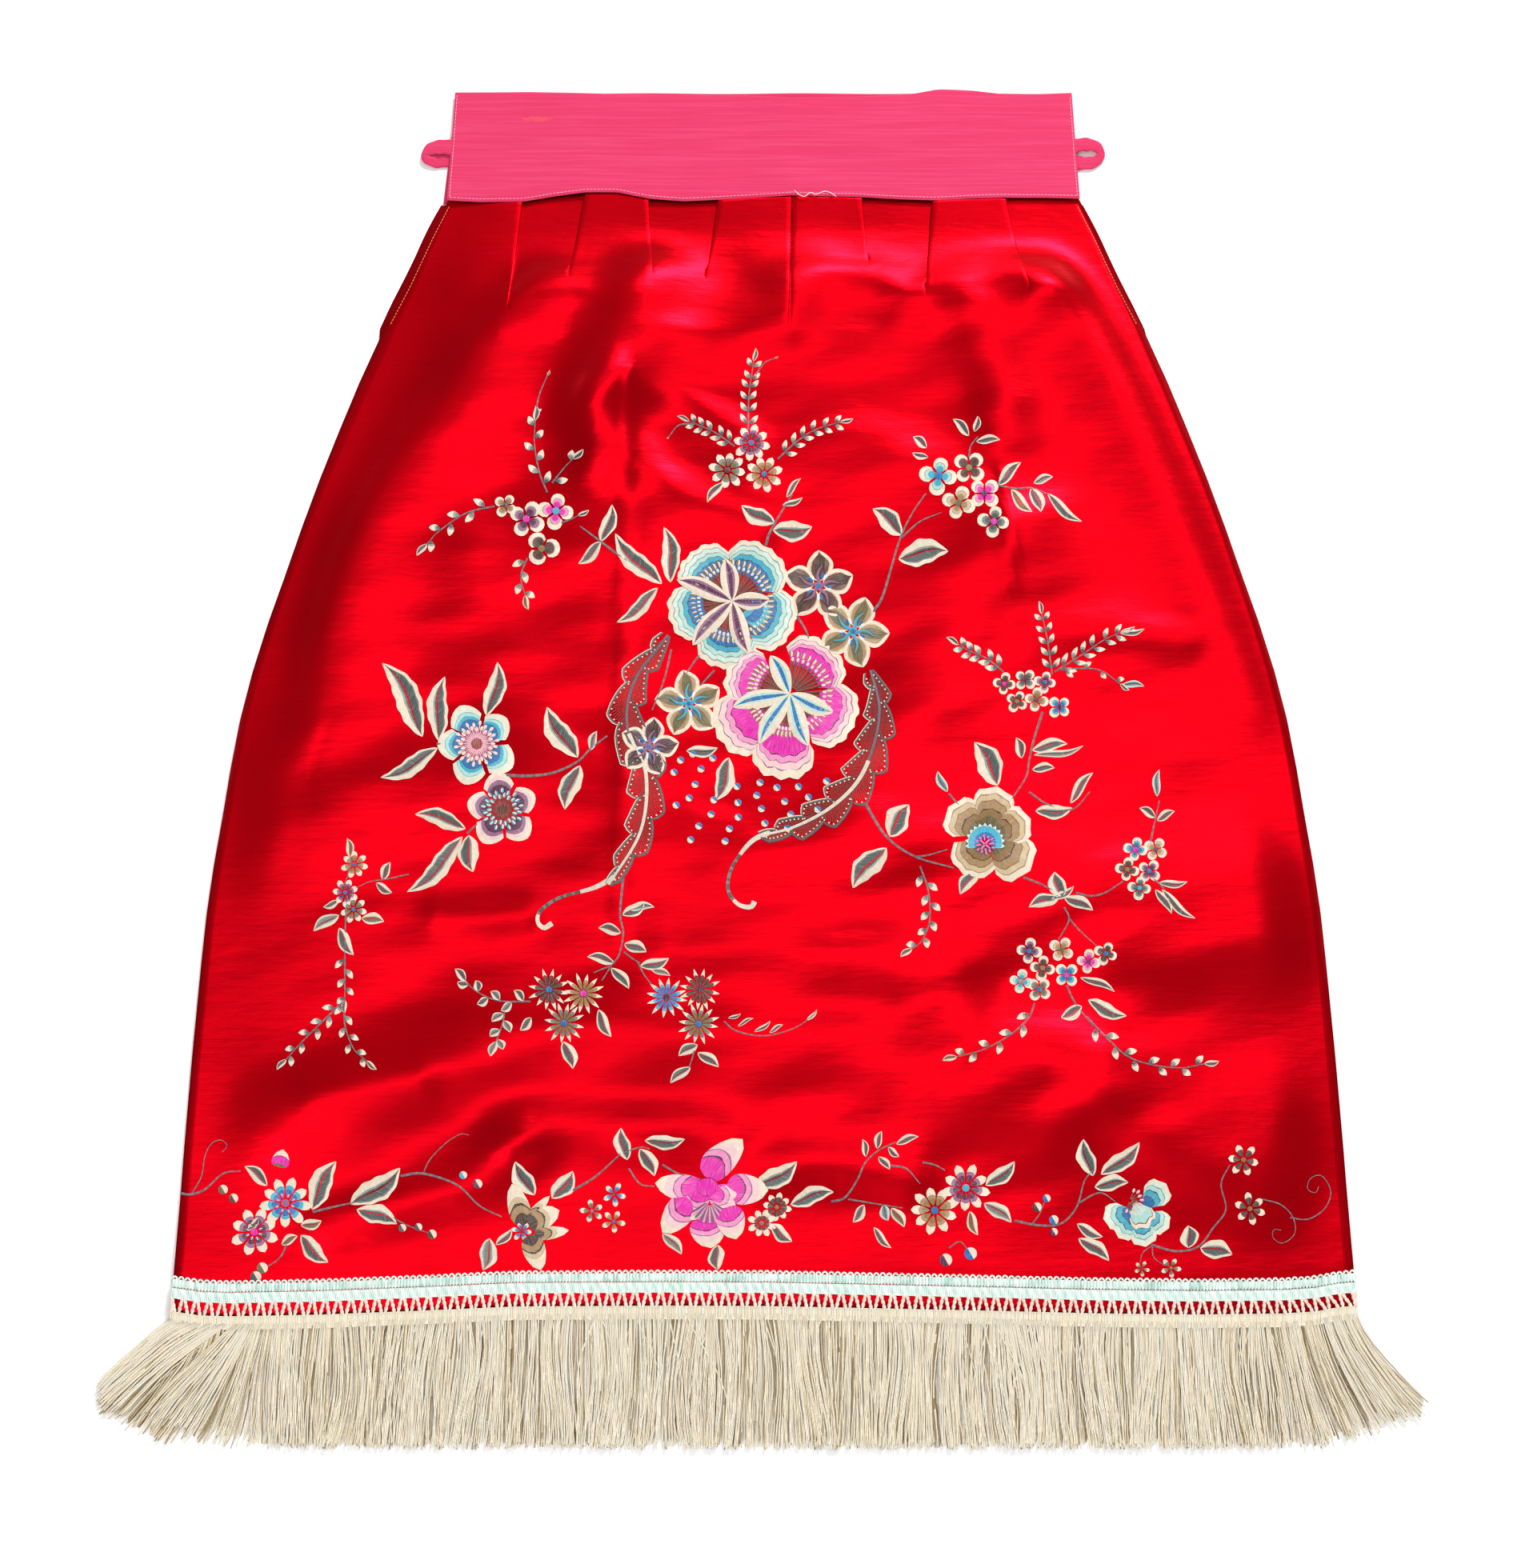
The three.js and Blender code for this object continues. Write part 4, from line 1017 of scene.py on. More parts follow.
    def sprig(self, points, count, long, width, pairs, kind):
        """A stem with small leaves along it, in turn on either side or in pairs."""
        line = self.stem(points, 1.1)
        tangent, _ = normals(line)
        for i, t in enumerate(np.linspace(0.12, 0.94, count)):
            k = int(t * (len(line) - 1))
            heading = math.degrees(math.atan2(tangent[k][1], tangent[k][0]))
            for side in (1, -1) if pairs else ((1, -1)[i % 2],):
                away = toward(heading + side * (42 + 6 * math.sin(5 * i + side)))
                size = long * (1 - 0.25 * t) * (0.92 + 0.12 * math.sin(3.1 * i))
                root = line[k] + away * 1.5
                shown = kind if (i + side) % 3 else "grey"
                if width > 8:
                    self.leaf(root, root + away * size, width, shown, 0.08 * side)
                    continue
                self.spear(root, root + away * size, width, [0.36, 0.52], [shown, "ash", "cream"], 1,
                           0.6, 0.75, 0.3, 5, 0.06 * side)
        self.leaf(line[-1], line[-1] + tangent[-1] * long, width, kind)

    def bloom(self, x, y, radius, dark, heart, turn, kind, petals):
        """A small flower round its heart."""
        centre = np.array((x, y), dtype=float)
        mid = MIDS.get(dark, "pale")
        n = petals or {"four": 4, "daisy": 8, "slender": 12, "broad": 5}[kind]
        for i in range(n):
            a = turn + i * 360 / n + 3 * math.sin(7.1 * i + x)
            way = toward(a)
            size = radius * (1 + 0.05 * math.sin(4.3 * i + y))
            if kind == "four":
                self.petal(centre, a, size * 0.14, size, 360 / n * 0.45,
                           [(0.46, dark), (0.64, mid), (0.7, "ash"), (1, "cream")], 1 + i % 2,
                           corner=0.42, narrow=0.72, across=8, dome=0.35, power=2.3)
            if kind == "daisy":
                wide = min(2 * radius * math.tan(math.pi / n), 0.85 * radius) * 0.5
                self.spear(centre + way * size * 0.2, centre + way * size, wide, [0.42, 0.6],
                           [dark, mid, "cream"], 1, 0.7, 0.5)
            if kind == "slender":
                self.spear(centre + way * size * 0.1, centre + way * size, radius * 0.19, [0.5, 0.66],
                           [dark, mid, "cream"], 1, 0.6, 0.85)
            if kind == "broad":
                self.petal(centre, a, size * 0.4, size, 33, BROADS[dark], 1 + i % 2, corner=0.27,
                           narrow=0.9, across=10, dome=0.45, power=1.5)
        self.disc(centre, radius * (0.2 if kind == "four" else 0.16), (heart,), 3)

    def star(self, x, y, radius, dark, mid, arm, heart, turn):
        """A flower of five pointed petals with curled arms between them."""
        centre = np.array((x, y), dtype=float)
        half = [(0.42, dark), (0.66, mid), (0.76, "sand"), (1, "cream")]
        for i in range(5):
            way = toward(turn + i * 72)
            self.blade(centre + way * radius * 0.12, centre + way * radius, radius * 0.72,
                       (half, half), 0.05, 1 + i % 2, 0.5, 0.74, 0.0, slant=0, core=(0.1, 0.42))
        for i in range(5):
            a = turn + 36 + i * 72
            points = []
            for r, drift in ((0.06, 0), (0.28, -42), (0.44, -34), (0.58, -26)):
                points.append(centre + radius * r * toward(a + drift))
            self.ribbon(curve(points, 9), np.linspace(2.4, 0.7, 9), (arm,), 4, 0.4)
            for tone, drift in (("white", 0), ("blue", -13)):
                bit = centre + radius * 0.3 * toward(a + drift)
                self.disc(bit, 2.3, (tone,), 3, 0.35, 6, a + drift, 1.9)
        self.disc((x, y), radius * 0.08, (heart,), 5)

    def feather(self, points, width, lobes):
        """An acanthus leaf: a lobed outline with dots, a spine and slanting veins."""
        count = 130
        line = curve(points, count)
        tangent, side_way = normals(line)
        t = np.linspace(0, 1, count)
        env = np.clip(np.sin(math.pi * np.clip(t * 0.9 + 0.07, 0, 1)), 0, 1) ** 0.6
        for side in (1, -1):
            saw = (lobes * t + (0.5 if side > 0 else 0)) % 1
            wave = np.minimum(saw / 0.7, (1 - saw) / 0.3) ** 0.62
            reach = width / 2 * env * (0.3 + 0.7 * wave)
            edge = line + side * side_way * reach[:, None] + tangent * (0.5 * reach * saw)[:, None]
            for k in range(3, count - 5):
                end = line[k] + (edge[min(k + 4, count - 1)] - line[k]) * 0.76
                self.ribbon(np.linspace(line[k], end, 4), 0.55, (("umber", "wine")[k % 2],), 0, 0.2)
            rim = np.linspace(0, 1, 4)[None] * 3.6
            way = edge - line
            way /= np.maximum(np.linalg.norm(way, axis=1, keepdims=True), 1e-6)
            x = edge[:, :1] - way[:, :1] * rim
            y = edge[:, 1:] - way[:, 1:] * rim
            names = ("cream", "slate", "slate") if side > 0 else ("slate", "slate", "umber")
            lift = self.base(1) + 0.3 * np.array([0.1, 1, 0.8, 0.2])[None] + 0 * x
            tones = threads(names)[None] + np.zeros((count - 1, 1, 1))
            self.patch(x, y, lift, tones, t[:, None] * 300 + 0 * x, 0 * x)
            for k in range(3, count - 4, 2):
                self.disc(edge[k] - way[k] * 5.2, 1.15, ("cream",), 2, 0.3, 6)
        cut = count * 2 // 5
        self.ribbon(line[:cut + 1], 1.7, ("stem",), 2, 0.35)
        self.ribbon(line[cut:], np.linspace(2.6, 1.4, count - cut), ("cream", "pale"), 2, 0.35)

    def peony(self, centre, radius, petals, bands, pistils, stripe, blade_tone, seeds):
        """A great flower: broad scalloped petals, fans of stamens and a star of pistils."""
        centre = np.array(centre, dtype=float)
        for i, p in enumerate(petals):
            inner = 0.44 * radius
            self.petal(centre, p.angle, inner, radius * p.reach, p.half, bands, 1 + i % 3,
                       p.scallops, 0.02, 0.26, 0.86, 0.55, 20, 3.6)
        for p in petals:
            for i in range(3 * seeds):
                a = p.angle + p.half * 0.9 * (2 * (i + 0.5) / (3 * seeds) - 1)
                way = toward(a)
                end = centre + way * radius * (0.5 if i % 3 else 0.53)
                if i % 3 < 2:
                    self.ribbon(np.linspace(centre + way * radius * 0.1, end, 6), 0.8,
                                (("rust", "umber")[i % 2],), 3, 0.2)
                if i % 3 == 0:
                    self.disc(centre + way * radius * 0.6, 2.6, ("cream", "bronze"), 5, 0.4, 6,
                              a, 1.7)
                if i % 3 == 1:
                    self.disc(centre + way * radius * 0.52, 1.9, ("cream",), 5, 0.35, 6, a, 1.5)
        inside = ([(0.3, stripe), (0.56, blade_tone), (1, "cream")],
                  [(0.12, stripe), (0.3, blade_tone), (1, "cream")])
        for tip in pistils:
            self.blade(centre, tip, 23, inside, 0.03, 6, 0.52, 0.7, 0.0, slant=0.6, dome=0.55,
                       core=(0.12, 0.3))

    def lotus(self, rows, names, stops):
        """A flower of long petals, each with its own base and tip."""
        for i, p in enumerate(rows):
            self.spear(p.base, p.tip, p.width, stops, names, 1 + i % 5, 0.58, 0.52, 0.5, 7, p.bend,
                       8, 0.22)

    def piece(self, name):
        """Lays all the stitches on the cloth and makes them one piece."""
        ground = MADE["ground"]
        x, y = np.concatenate(self.x), np.concatenate(self.y)
        lift = np.concatenate(self.lift) * bpy.context.scene.skirt_stitch.relief
        z = np.full(x.shape, 5.0)
        for _ in range(3):
            cx, cy = to_cloth(x, y, z)
            z = ground.at(cx, cy) + MADE["cloth_half"]
        inside = np.minimum(half_width(cy) - 0.4 - np.abs(cx), 0)
        cx = cx + np.sign(cx) * inside
        points = np.stack([cx, cy, z + lift], axis=-1)
        faces = np.vstack(self.faces)
        made = mesh_piece(name, points, faces.tolist(),
                          shade("embroidery_thread"))
        paint(made, np.vstack(self.tones))
        layer = made.data.uv_layers.new(name="lay")
        layer.data.foreach_set("uv", np.concatenate(self.lay)[faces.ravel()].ravel())


# Everything below is placed on the page, in its steps from the left and from the top.
Leaf = namedtuple("Leaf", "x y tip_x tip_y width kind", defaults=("slate",))
Stem = namedtuple("Stem", "points half", defaults=(1.5,))
Sprig = namedtuple("Sprig", "points count long width pairs kind", defaults=(False, "slate"))
Bloom = namedtuple("Bloom", "x y radius dark heart turn kind petals", defaults=(10, "four", None))
Star = namedtuple("Star", "x y radius dark mid arm heart turn")
Petal = namedtuple("Petal", "angle half reach scallops")
Blade = namedtuple("Blade", "base tip width bend", defaults=(0.0,))
Dot = namedtuple("Dot", "x y radius tone")


CENTRE_LEAVES = each(Leaf, [
    (904, 603, 884, 628, 11), (968, 654, 927, 632, 22), (966, 663, 1015, 659, 26),
    (983, 622, 1001, 598, 8), (978, 632, 1003, 622, 8), (827, 730, 769, 667, 25),
    (838, 728, 830, 659, 23), (822, 735, 771, 778, 18), (751, 677, 765, 631, 18),
    (751, 677, 723, 705, 15), (858, 939, 897, 935, 15), (911, 947, 894, 1001, 24),
])
CENTRE_STEMS = each(Stem, [
    ([(957, 682), (964, 662), (990, 618)], 1.6), ([(769, 691), (752, 678), (725, 658)], 1.6),
    ([(812, 722), (790, 705), (769, 691)], 1.8), ([(895, 800), (872, 822), (856, 845)], 1.6),
    ([(996, 770), (1008, 790), (1013, 812)], 1.6), ([(839, 812), (830, 850), (815, 888)], 1.3),
    ([(893, 838), (880, 852), (870, 864)], 1.3),
])
CENTRE_SPRIGS = each(Sprig, [
    ([(935, 538), (936, 495), (942, 452)], 6, 17, 6, True),
    ([(942, 474), (954, 455), (968, 448)], 0, 5, 2),
    ([(918, 558), (892, 540), (862, 527)], 5, 17, 6, True),
    ([(866, 530), (848, 532), (836, 546)], 0, 4, 2),
    ([(972, 574), (996, 552), (1020, 537), (1050, 528)], 6, 17, 6, True),
])
CENTRE_BLOOMS = each(Bloom, [
    (939, 554, 23, "plum", "blue", 10, "daisy"), (909, 588, 23, "olive", "plum", 10, "daisy"),
    (955, 593, 23, "bronze", "blue", 30, "daisy"),
])
STARS = each(Star, [
    (1023, 733, 45, "brown", "umber", "mauve", "blue", -90),
    (1066, 790, 46, "olive", "tan", "turquoise", "blue", -70),
    (861, 880, 43, "olive", "tan", "turquoise", "blue", -100),
    (811, 934, 38, "brown", "plum", "mauve", "blue", -80),
])
BLUE_PEONY = each(Petal, [
    (-130, 37, 0.98, 6), (-53, 42, 1.0, 6), (165, 34, 1.0, 5), (25, 39, 1.03, 6), (97, 36, 1.04, 6),
])
MAGENTA_PEONY = each(Petal, [
    (-50, 44, 0.94, 6), (-157, 34, 1.0, 5), (27, 38, 1.06, 6), (149, 31, 1.24, 5), (96, 29, 1.26, 5),
])
TAN_PEONY = each(Petal, [
    (-142, 38, 0.98, 3), (-78, 34, 1.04, 3), (-22, 34, 0.96, 3), (38, 38, 1.12, 3), (122, 48, 0.9, 4),
])
BLUE_BANDS = [
    (0.42, "blue"), (0.45, "slate"), (0.56, "turquoise"), (0.59, "grey"), (0.69, "mint"), (0.72, "ash"),
    (0.83, "palemint"), (0.86, "ash"), (1, "cream"),
]
MAGENTA_BANDS = [
    (0.58, "magenta"), (0.6, "plum"), (0.7, "pink"), (0.72, "mauve"), (0.83, "blush"), (0.85, "mauve"),
    (1, "cream"),
]
TAN_BANDS = [
    (0.3, "olive"), (0.46, "bronze"), (0.49, "brown"), (0.66, "tan"), (0.69, "bronze"), (0.82, "sand"),
    (0.85, "tan"), (1, "cream"),
]
FEATHERS = {
    "left": [(835, 794), (793, 852), (784, 909), (807, 965), (801, 1038), (761, 1106)],
    "right": [(1088, 838), (1099, 885), (1091, 935), (1071, 978), (1036, 1011), (992, 1034), (950, 1045)],
}
HOOKS = {
    "left": [(768, 1096), (742, 1110), (700, 1122), (676, 1138), (672, 1152), (680, 1160), (690, 1154)],
    "right": [(962, 1040), (938, 1053), (915, 1084), (910, 1112), (922, 1130), (938, 1134), (943, 1127)],
}

UPPER_LEAVES = each(Leaf, [
    (1127, 669, 1091, 636, 25), (1123, 699, 1185, 689, 32), (1158, 560, 1141, 546, 12),
    (1160, 572, 1140, 566, 9), (1211, 545, 1191, 524, 12), (1220, 552, 1250, 550, 11),
    (1218, 540, 1222, 520, 9), (1248, 607, 1276, 578, 15), (1264, 612, 1290, 640, 14, "olive"),
    (1289, 610, 1301, 640, 17), (1309, 617, 1352, 652, 13), (1292, 604, 1316, 596, 11, "grey"),
])
UPPER_STEMS = each(Stem, [
    ([(1091, 765), (1104, 743), (1124, 676), (1140, 642), (1157, 617)], 1.6),
    ([(1127, 672), (1150, 652), (1176, 641)], 1.2), ([(1211, 572), (1213, 558), (1222, 546)], 1.2),
    ([(1248, 607), (1270, 611), (1289, 610), (1312, 619)], 1.2),
    ([(1238, 612), (1252, 600), (1262, 586)], 1.2),
])
UPPER_BLOOMS = each(Bloom, [
    (1173, 595, 24, "turquoise", "blue"), (1211, 585, 21, "brown", "bronze", 40),
    (1198, 629, 21, "tan", "olive", 20), (1230, 617, 20, "magenta", "plum", 45),
    (1242, 652, 20, "slate", "magenta"), (695, 639, 23, "magenta", "turquoise"),
    (658, 649, 23, "plum", "magenta", 30), (677, 686, 22, "brown", "bronze", 0, "four", 3),
    (632, 632, 15, "bronze", "plum", 35),
])
UPPER_SPRIGS = each(Sprig, [
    ([(618, 633), (582, 642), (549, 664), (534, 680)], 6, 20, 8),
    ([(684, 616), (674, 590), (668, 555), (669, 526)], 6, 19, 8),
    ([(669, 520), (674, 494), (684, 470)], 1, 8, 3), ([(690, 604), (706, 584), (716, 574)], 2, 18, 8),
    ([(659, 698), (651, 720), (656, 744)], 4, 19, 8, False, "olive"),
    ([(698, 655), (712, 650), (722, 645)], 0, 16, 6),
])

RIGHT_LEAVES = each(Leaf, [
    (1277, 948, 1270, 922, 13), (1290, 938, 1334, 930, 16), (1292, 944, 1354, 932, 9, "grey"),
    (1290, 962, 1318, 960, 12), (1247, 982, 1218, 928, 32), (1184, 990, 1172, 964, 11, "turquoise"),
    (1294, 1014, 1340, 1010, 18), (1338, 1004, 1366, 966, 13), (1222, 1088, 1200, 1118, 18),
    (1112, 1046, 1136, 1006, 30), (1108, 1060, 1066, 1110, 30), (1328, 1122, 1318, 1090, 22),
    (1324, 1122, 1286, 1134, 17), (1330, 1122, 1366, 1138, 16), (1314, 1124, 1342, 1108, 10),
    (1446, 996, 1449, 962, 10, "turquoise"), (1444, 1022, 1424, 1010, 11), (1446, 1026, 1468, 1014, 11),
    (1448, 1104, 1484, 1102, 10), (1444, 1112, 1464, 1142, 12), (1452, 1112, 1494, 1148, 11),
    (1350, 1222, 1393, 1240, 10), (1360, 1250, 1408, 1270, 18), (1352, 1258, 1326, 1272, 17),
    (1400, 792, 1430, 786, 8), (1402, 856, 1430, 858, 9, "turquoise"),
])
RIGHT_STEMS = each(Stem, [
    ([(1081, 1004), (1108, 1046), (1144, 1071), (1192, 1085)], 1.8),
    ([(1144, 1071), (1160, 1069), (1184, 1062)], 1.2),
    ([(1303, 890), (1292, 925), (1286, 952), (1282, 972), (1261, 1004)], 1.5),
    ([(1279, 1097), (1298, 1104), (1316, 1113)], 1.5),
    ([(1345, 1116), (1362, 1120), (1381, 1116), (1406, 1100)], 1.3),
    ([(1286, 990), (1310, 1006), (1340, 1012), (1362, 990)], 1.2),
    ([(1438, 1052), (1443, 1028), (1449, 1001)], 1.2), ([(1438, 1095), (1450, 1106), (1462, 1120)], 1.1),
    ([(1330, 1134), (1336, 1150), (1322, 1176)], 1.1), ([(1336, 1148), (1350, 1164), (1370, 1182)], 1.1),
    ([(1186, 992), (1196, 1004), (1206, 1012)], 1.2), ([(1333, 1232), (1345, 1256), (1366, 1282)], 1.2),
])
RIGHT_BLOOMS = each(Bloom, [
    (1255, 855, 14, "brown", "magenta"), (1281, 850, 14, "slate", "plum", 40),
    (1306, 853, 14, "plum", "blue"), (1271, 877, 14, "brown", "bronze", 30),
    (1295, 875, 15, "bronze", "plum"), (1324, 884, 15, "blue", "plum", 45),
    (1419, 1062, 15, "blue", "magenta"), (1444, 1062, 15, "tan", "plum", 30),
    (1409, 1087, 15, "brown", "bronze"), (1436, 1089, 15, "plum", "blue", 40),
    (1424, 1110, 15, "slate", "turquoise"), (1286, 1189, 16, "plum", "blue"),
    (1327, 1187, 16, "tan", "olive", 30), (1303, 1210, 16, "brown", "bronze"),
    (1333, 1219, 16, "blue", "magenta", 45), (1360, 1202, 15, "magenta", "plum"),
    (1382, 1192, 15, "brown", "blue", 20), (1276, 1227, 15, "turquoise", "tan"),
    (1299, 1237, 16, "olive", "blue", 40),
])
RIGHT_SPRIGS = each(Sprig, [
    ([(1315, 843), (1309, 800), (1302, 768)], 5, 17, 6, True),
    ([(1318, 840), (1350, 820), (1380, 800), (1400, 791)], 6, 20, 6, True),
    ([(1324, 837), (1371, 837), (1400, 855)], 4, 14, 6),
    ([(1254, 840), (1234, 824), (1212, 814), (1198, 806)], 5, 18, 7, True),
    ([(1150, 1083), (1160, 1113), (1162, 1150), (1152, 1176), (1140, 1186)], 9, 18, 8),
    ([(1293, 1254), (1285, 1273), (1262, 1294), (1229, 1312), (1196, 1321)], 7, 19, 8, False, "olive"),
    ([(1358, 1271), (1382, 1296), (1407, 1319), (1435, 1330), (1474, 1335), (1505, 1330)], 10, 19, 8),
])

LEFT_LEAVES = each(Leaf, [
    (528, 921, 478, 829, 32), (548, 926, 556, 846, 26), (608, 895, 622, 828, 24),
    (547, 935, 476, 972, 22), (582, 1036, 519, 1018, 22), (578, 1046, 509, 1115, 24),
    (586, 1044, 591, 1090, 26), (722, 947, 684, 884, 30), (725, 957, 706, 1012, 25),
    (738, 938, 746, 914, 11, "grey"), (438, 1072, 434, 1048, 10, "olive"), (478, 1100, 488, 1078, 12),
    (470, 1104, 490, 1116, 11), (424, 1126, 404, 1134, 9), (424, 1144, 392, 1164, 15, "grey"),
    (452, 1148, 480, 1152, 15, "olive"), (424, 1160, 442, 1194, 16),
])
LEFT_STEMS = each(Stem, [
    ([(633, 969), (660, 970), (692, 966), (722, 952), (738, 936), (759, 920)], 1.9),
    ([(546, 930), (560, 930), (572, 931)], 1.5),
    ([(511, 1093), (483, 1099), (463, 1102), (445, 1110)], 0.9),
    ([(434, 1120), (432, 1150), (431, 1195)], 1.2), ([(440, 1072), (436, 1090), (430, 1108)], 0.9),
    ([(584, 1042), (592, 1034), (600, 1028)], 1.4),
])
LEFT_BLOOMS = each(Bloom, [
    (596, 930, 52, "blue", "rust", -112, "broad", 5), (628, 1012, 47, "plum", "umber", -98, "broad", 5),
    (443, 1081, 17, "bronze", "blue", 10, "daisy", 7), (432, 1116, 17, "plum", "blue", 30, "daisy", 7),
    (442, 1137, 17, "olive", "blue", 10, "daisy", 7),
])
LEFT_SPRIGS = each(Sprig, [
    ([(431, 1195), (431, 1225), (431, 1250)], 5, 17, 7),
    ([(431, 1250), (431, 1281), (442, 1311), (458, 1326)], 7, 17, 7, False, "olive"),
    ([(428, 1253), (399, 1281), (376, 1304), (358, 1324)], 8, 18, 7),
])

LOW_LEAVES = each(Leaf, [
    (910, 1273, 926, 1267, 5), (922, 1283, 942, 1273, 5), (943, 1290, 963, 1276, 6),
    (962, 1291, 979, 1281, 6), (778, 1144, 806, 1128, 15), (784, 1136, 818, 1134, 11, "grey"),
    (776, 1166, 748, 1160, 14), (780, 1180, 808, 1190, 16), (768, 1204, 734, 1196, 13),
    (764, 1210, 786, 1236, 14), (800, 1208, 836, 1198, 15), (814, 1212, 838, 1220, 9, "grey"),
    (748, 1262, 764, 1296, 15), (704, 1302, 716, 1336, 18), (872, 1306, 848, 1320, 14),
    (872, 1316, 898, 1334, 14), (863, 1334, 838, 1354, 13), (664, 1272, 650, 1288, 12),
    (1008, 1276, 1021, 1262, 5, "pale"),
])
LOW_STEMS = each(Stem, [
    ([(779, 1098), (775, 1143), (779, 1166), (774, 1193), (765, 1206), (752, 1226)], 1.5),
    ([(764, 1208), (754, 1211), (742, 1216)], 1.1), ([(797, 1203), (806, 1220), (818, 1235)], 1.1),
    ([(868, 1305), (866, 1320), (860, 1338)], 1.1), ([(780, 1190), (790, 1198), (800, 1204)], 1.2),
    ([(905, 1277), (921, 1289), (955, 1295), (988, 1287), (1008, 1276), (1020, 1263)], 1.0),
])
LOW_BLOOMS = each(Bloom, [
    (686, 1237, 26, "brown", "blue", 10, "slender"), (729, 1242, 26, "bronze", "magenta", 10, "slender"),
    (705, 1279, 26, "olive", "blue", 10, "slender"), (833, 1247, 26, "blue", "brown", 10, "slender"),
    (875, 1237, 26, "brown", "plum", 10, "slender"), (873, 1280, 26, "olive", "blue", 10, "slender"),
])
LOW_SPRIGS = each(Sprig, [
    ([(663, 1252), (623, 1251), (595, 1239), (582, 1226)], 6, 20, 11),
    ([(631, 1262), (628, 1280), (620, 1302)], 4, 20, 11, False, "grey"),
])

HEM_LEAVES = each(Leaf, [
    (334, 1482, 306, 1458, 16), (390, 1512, 420, 1452, 28), (438, 1505, 500, 1460, 30),
    (446, 1512, 496, 1530, 24), (376, 1532, 402, 1526, 14, "olive"), (352, 1556, 372, 1545, 12, "olive"),
    (376, 1544, 410, 1578, 22), (612, 1548, 604, 1588, 22, "grey"), (620, 1556, 640, 1536, 11),
    (668, 1494, 644, 1452, 24), (690, 1498, 716, 1464, 24), (784, 1450, 776, 1410, 20),
    (806, 1426, 856, 1424, 18), (800, 1436, 818, 1470, 20), (944, 1484, 996, 1452, 26),
    (988, 1506, 1042, 1490, 22), (964, 1530, 990, 1552, 17), (828, 1542, 852, 1568, 15, "grey"),
    (897, 1556, 897, 1588, 20), (1120, 1430, 1148, 1421, 10), (1082, 1446, 1078, 1424, 9),
    (1096, 1436, 1102, 1414, 10), (1110, 1434, 1124, 1446, 9), (1098, 1446, 1112, 1462, 10),
    (1232, 1482, 1268, 1452, 20), (1230, 1504, 1264, 1528, 18, "grey"),
    (1212, 1514, 1222, 1544, 13, "olive"), (1080, 1506, 1066, 1528, 13),
    (1104, 1506, 1110, 1526, 13, "turquoise"), (1114, 1510, 1130, 1534, 14, "olive"),
    (1092, 1534, 1114, 1560, 10), (1366, 1470, 1354, 1424, 22), (1376, 1468, 1424, 1428, 22),
    (1368, 1484, 1410, 1478, 20), (1346, 1530, 1378, 1546, 14), (1348, 1548, 1386, 1576, 18),
    (1485, 1560, 1485, 1532, 23), (1500, 1560, 1540, 1568, 24), (310, 1538, 324, 1520, 10, "olive"),
])
HEM_STEMS = each(Stem, [
    ([(220, 1490), (237, 1493), (256, 1487), (279, 1467), (301, 1464)], 1.5),
    ([(391, 1515), (420, 1508), (453, 1501)], 1.5),
    ([(240, 1492), (252, 1470), (256, 1446), (264, 1430), (276, 1425), (284, 1432), (278, 1440)], 0.8),
    ([(501, 1470), (529, 1467), (571, 1481), (599, 1507), (627, 1521)], 1.6),
    ([(529, 1467), (537, 1450), (556, 1430), (575, 1418), (586, 1419)], 0.8),
    ([(716, 1488), (744, 1471), (775, 1443)], 1.5), ([(786, 1461), (800, 1480), (818, 1483)], 1.3),
    ([(775, 1443), (800, 1434), (812, 1436)], 1.2), ([(828, 1456), (850, 1468), (879, 1475)], 1.3),
    ([(1039, 1502), (1056, 1497), (1072, 1474), (1081, 1454), (1098, 1438), (1119, 1428)], 1.4),
    ([(1113, 1457), (1133, 1461), (1150, 1480)], 1.3), ([(1153, 1453), (1168, 1456), (1181, 1463)], 1.3),
    ([(1060, 1499), (1090, 1504), (1128, 1510)], 1.1),
    ([(1268, 1526), (1301, 1532), (1327, 1529), (1346, 1508), (1355, 1477), (1366, 1463)], 1.5),
    ([(1346, 1505), (1374, 1491), (1394, 1502)], 1.2),
    ([(1439, 1556), (1470, 1564), (1498, 1558), (1516, 1535), (1532, 1512), (1526, 1480),
      (1537, 1456)], 1.4),
    ([(1578, 1499), (1601, 1506), (1616, 1522), (1618, 1542), (1603, 1554), (1591, 1547), (1592, 1537),
      (1601, 1538)], 0.8),
    ([(1612, 1522), (1635, 1524), (1656, 1510), (1663, 1489), (1652, 1470), (1638, 1473), (1634, 1486),
      (1644, 1491), (1648, 1483)], 0.8), ([(1440, 1557), (1428, 1566), (1425, 1578)], 0.8),
    ([(1440, 1557), (1442, 1572), (1456, 1582)], 0.8), ([(360, 1552), (350, 1572), (332, 1585)], 1.1),
    ([(484, 1518), (510, 1532), (538, 1542)], 0.9), ([(1290, 1530), (1300, 1516), (1306, 1500)], 0.9),
    ([(1186, 1560), (1200, 1552), (1212, 1566)], 0.9),
])
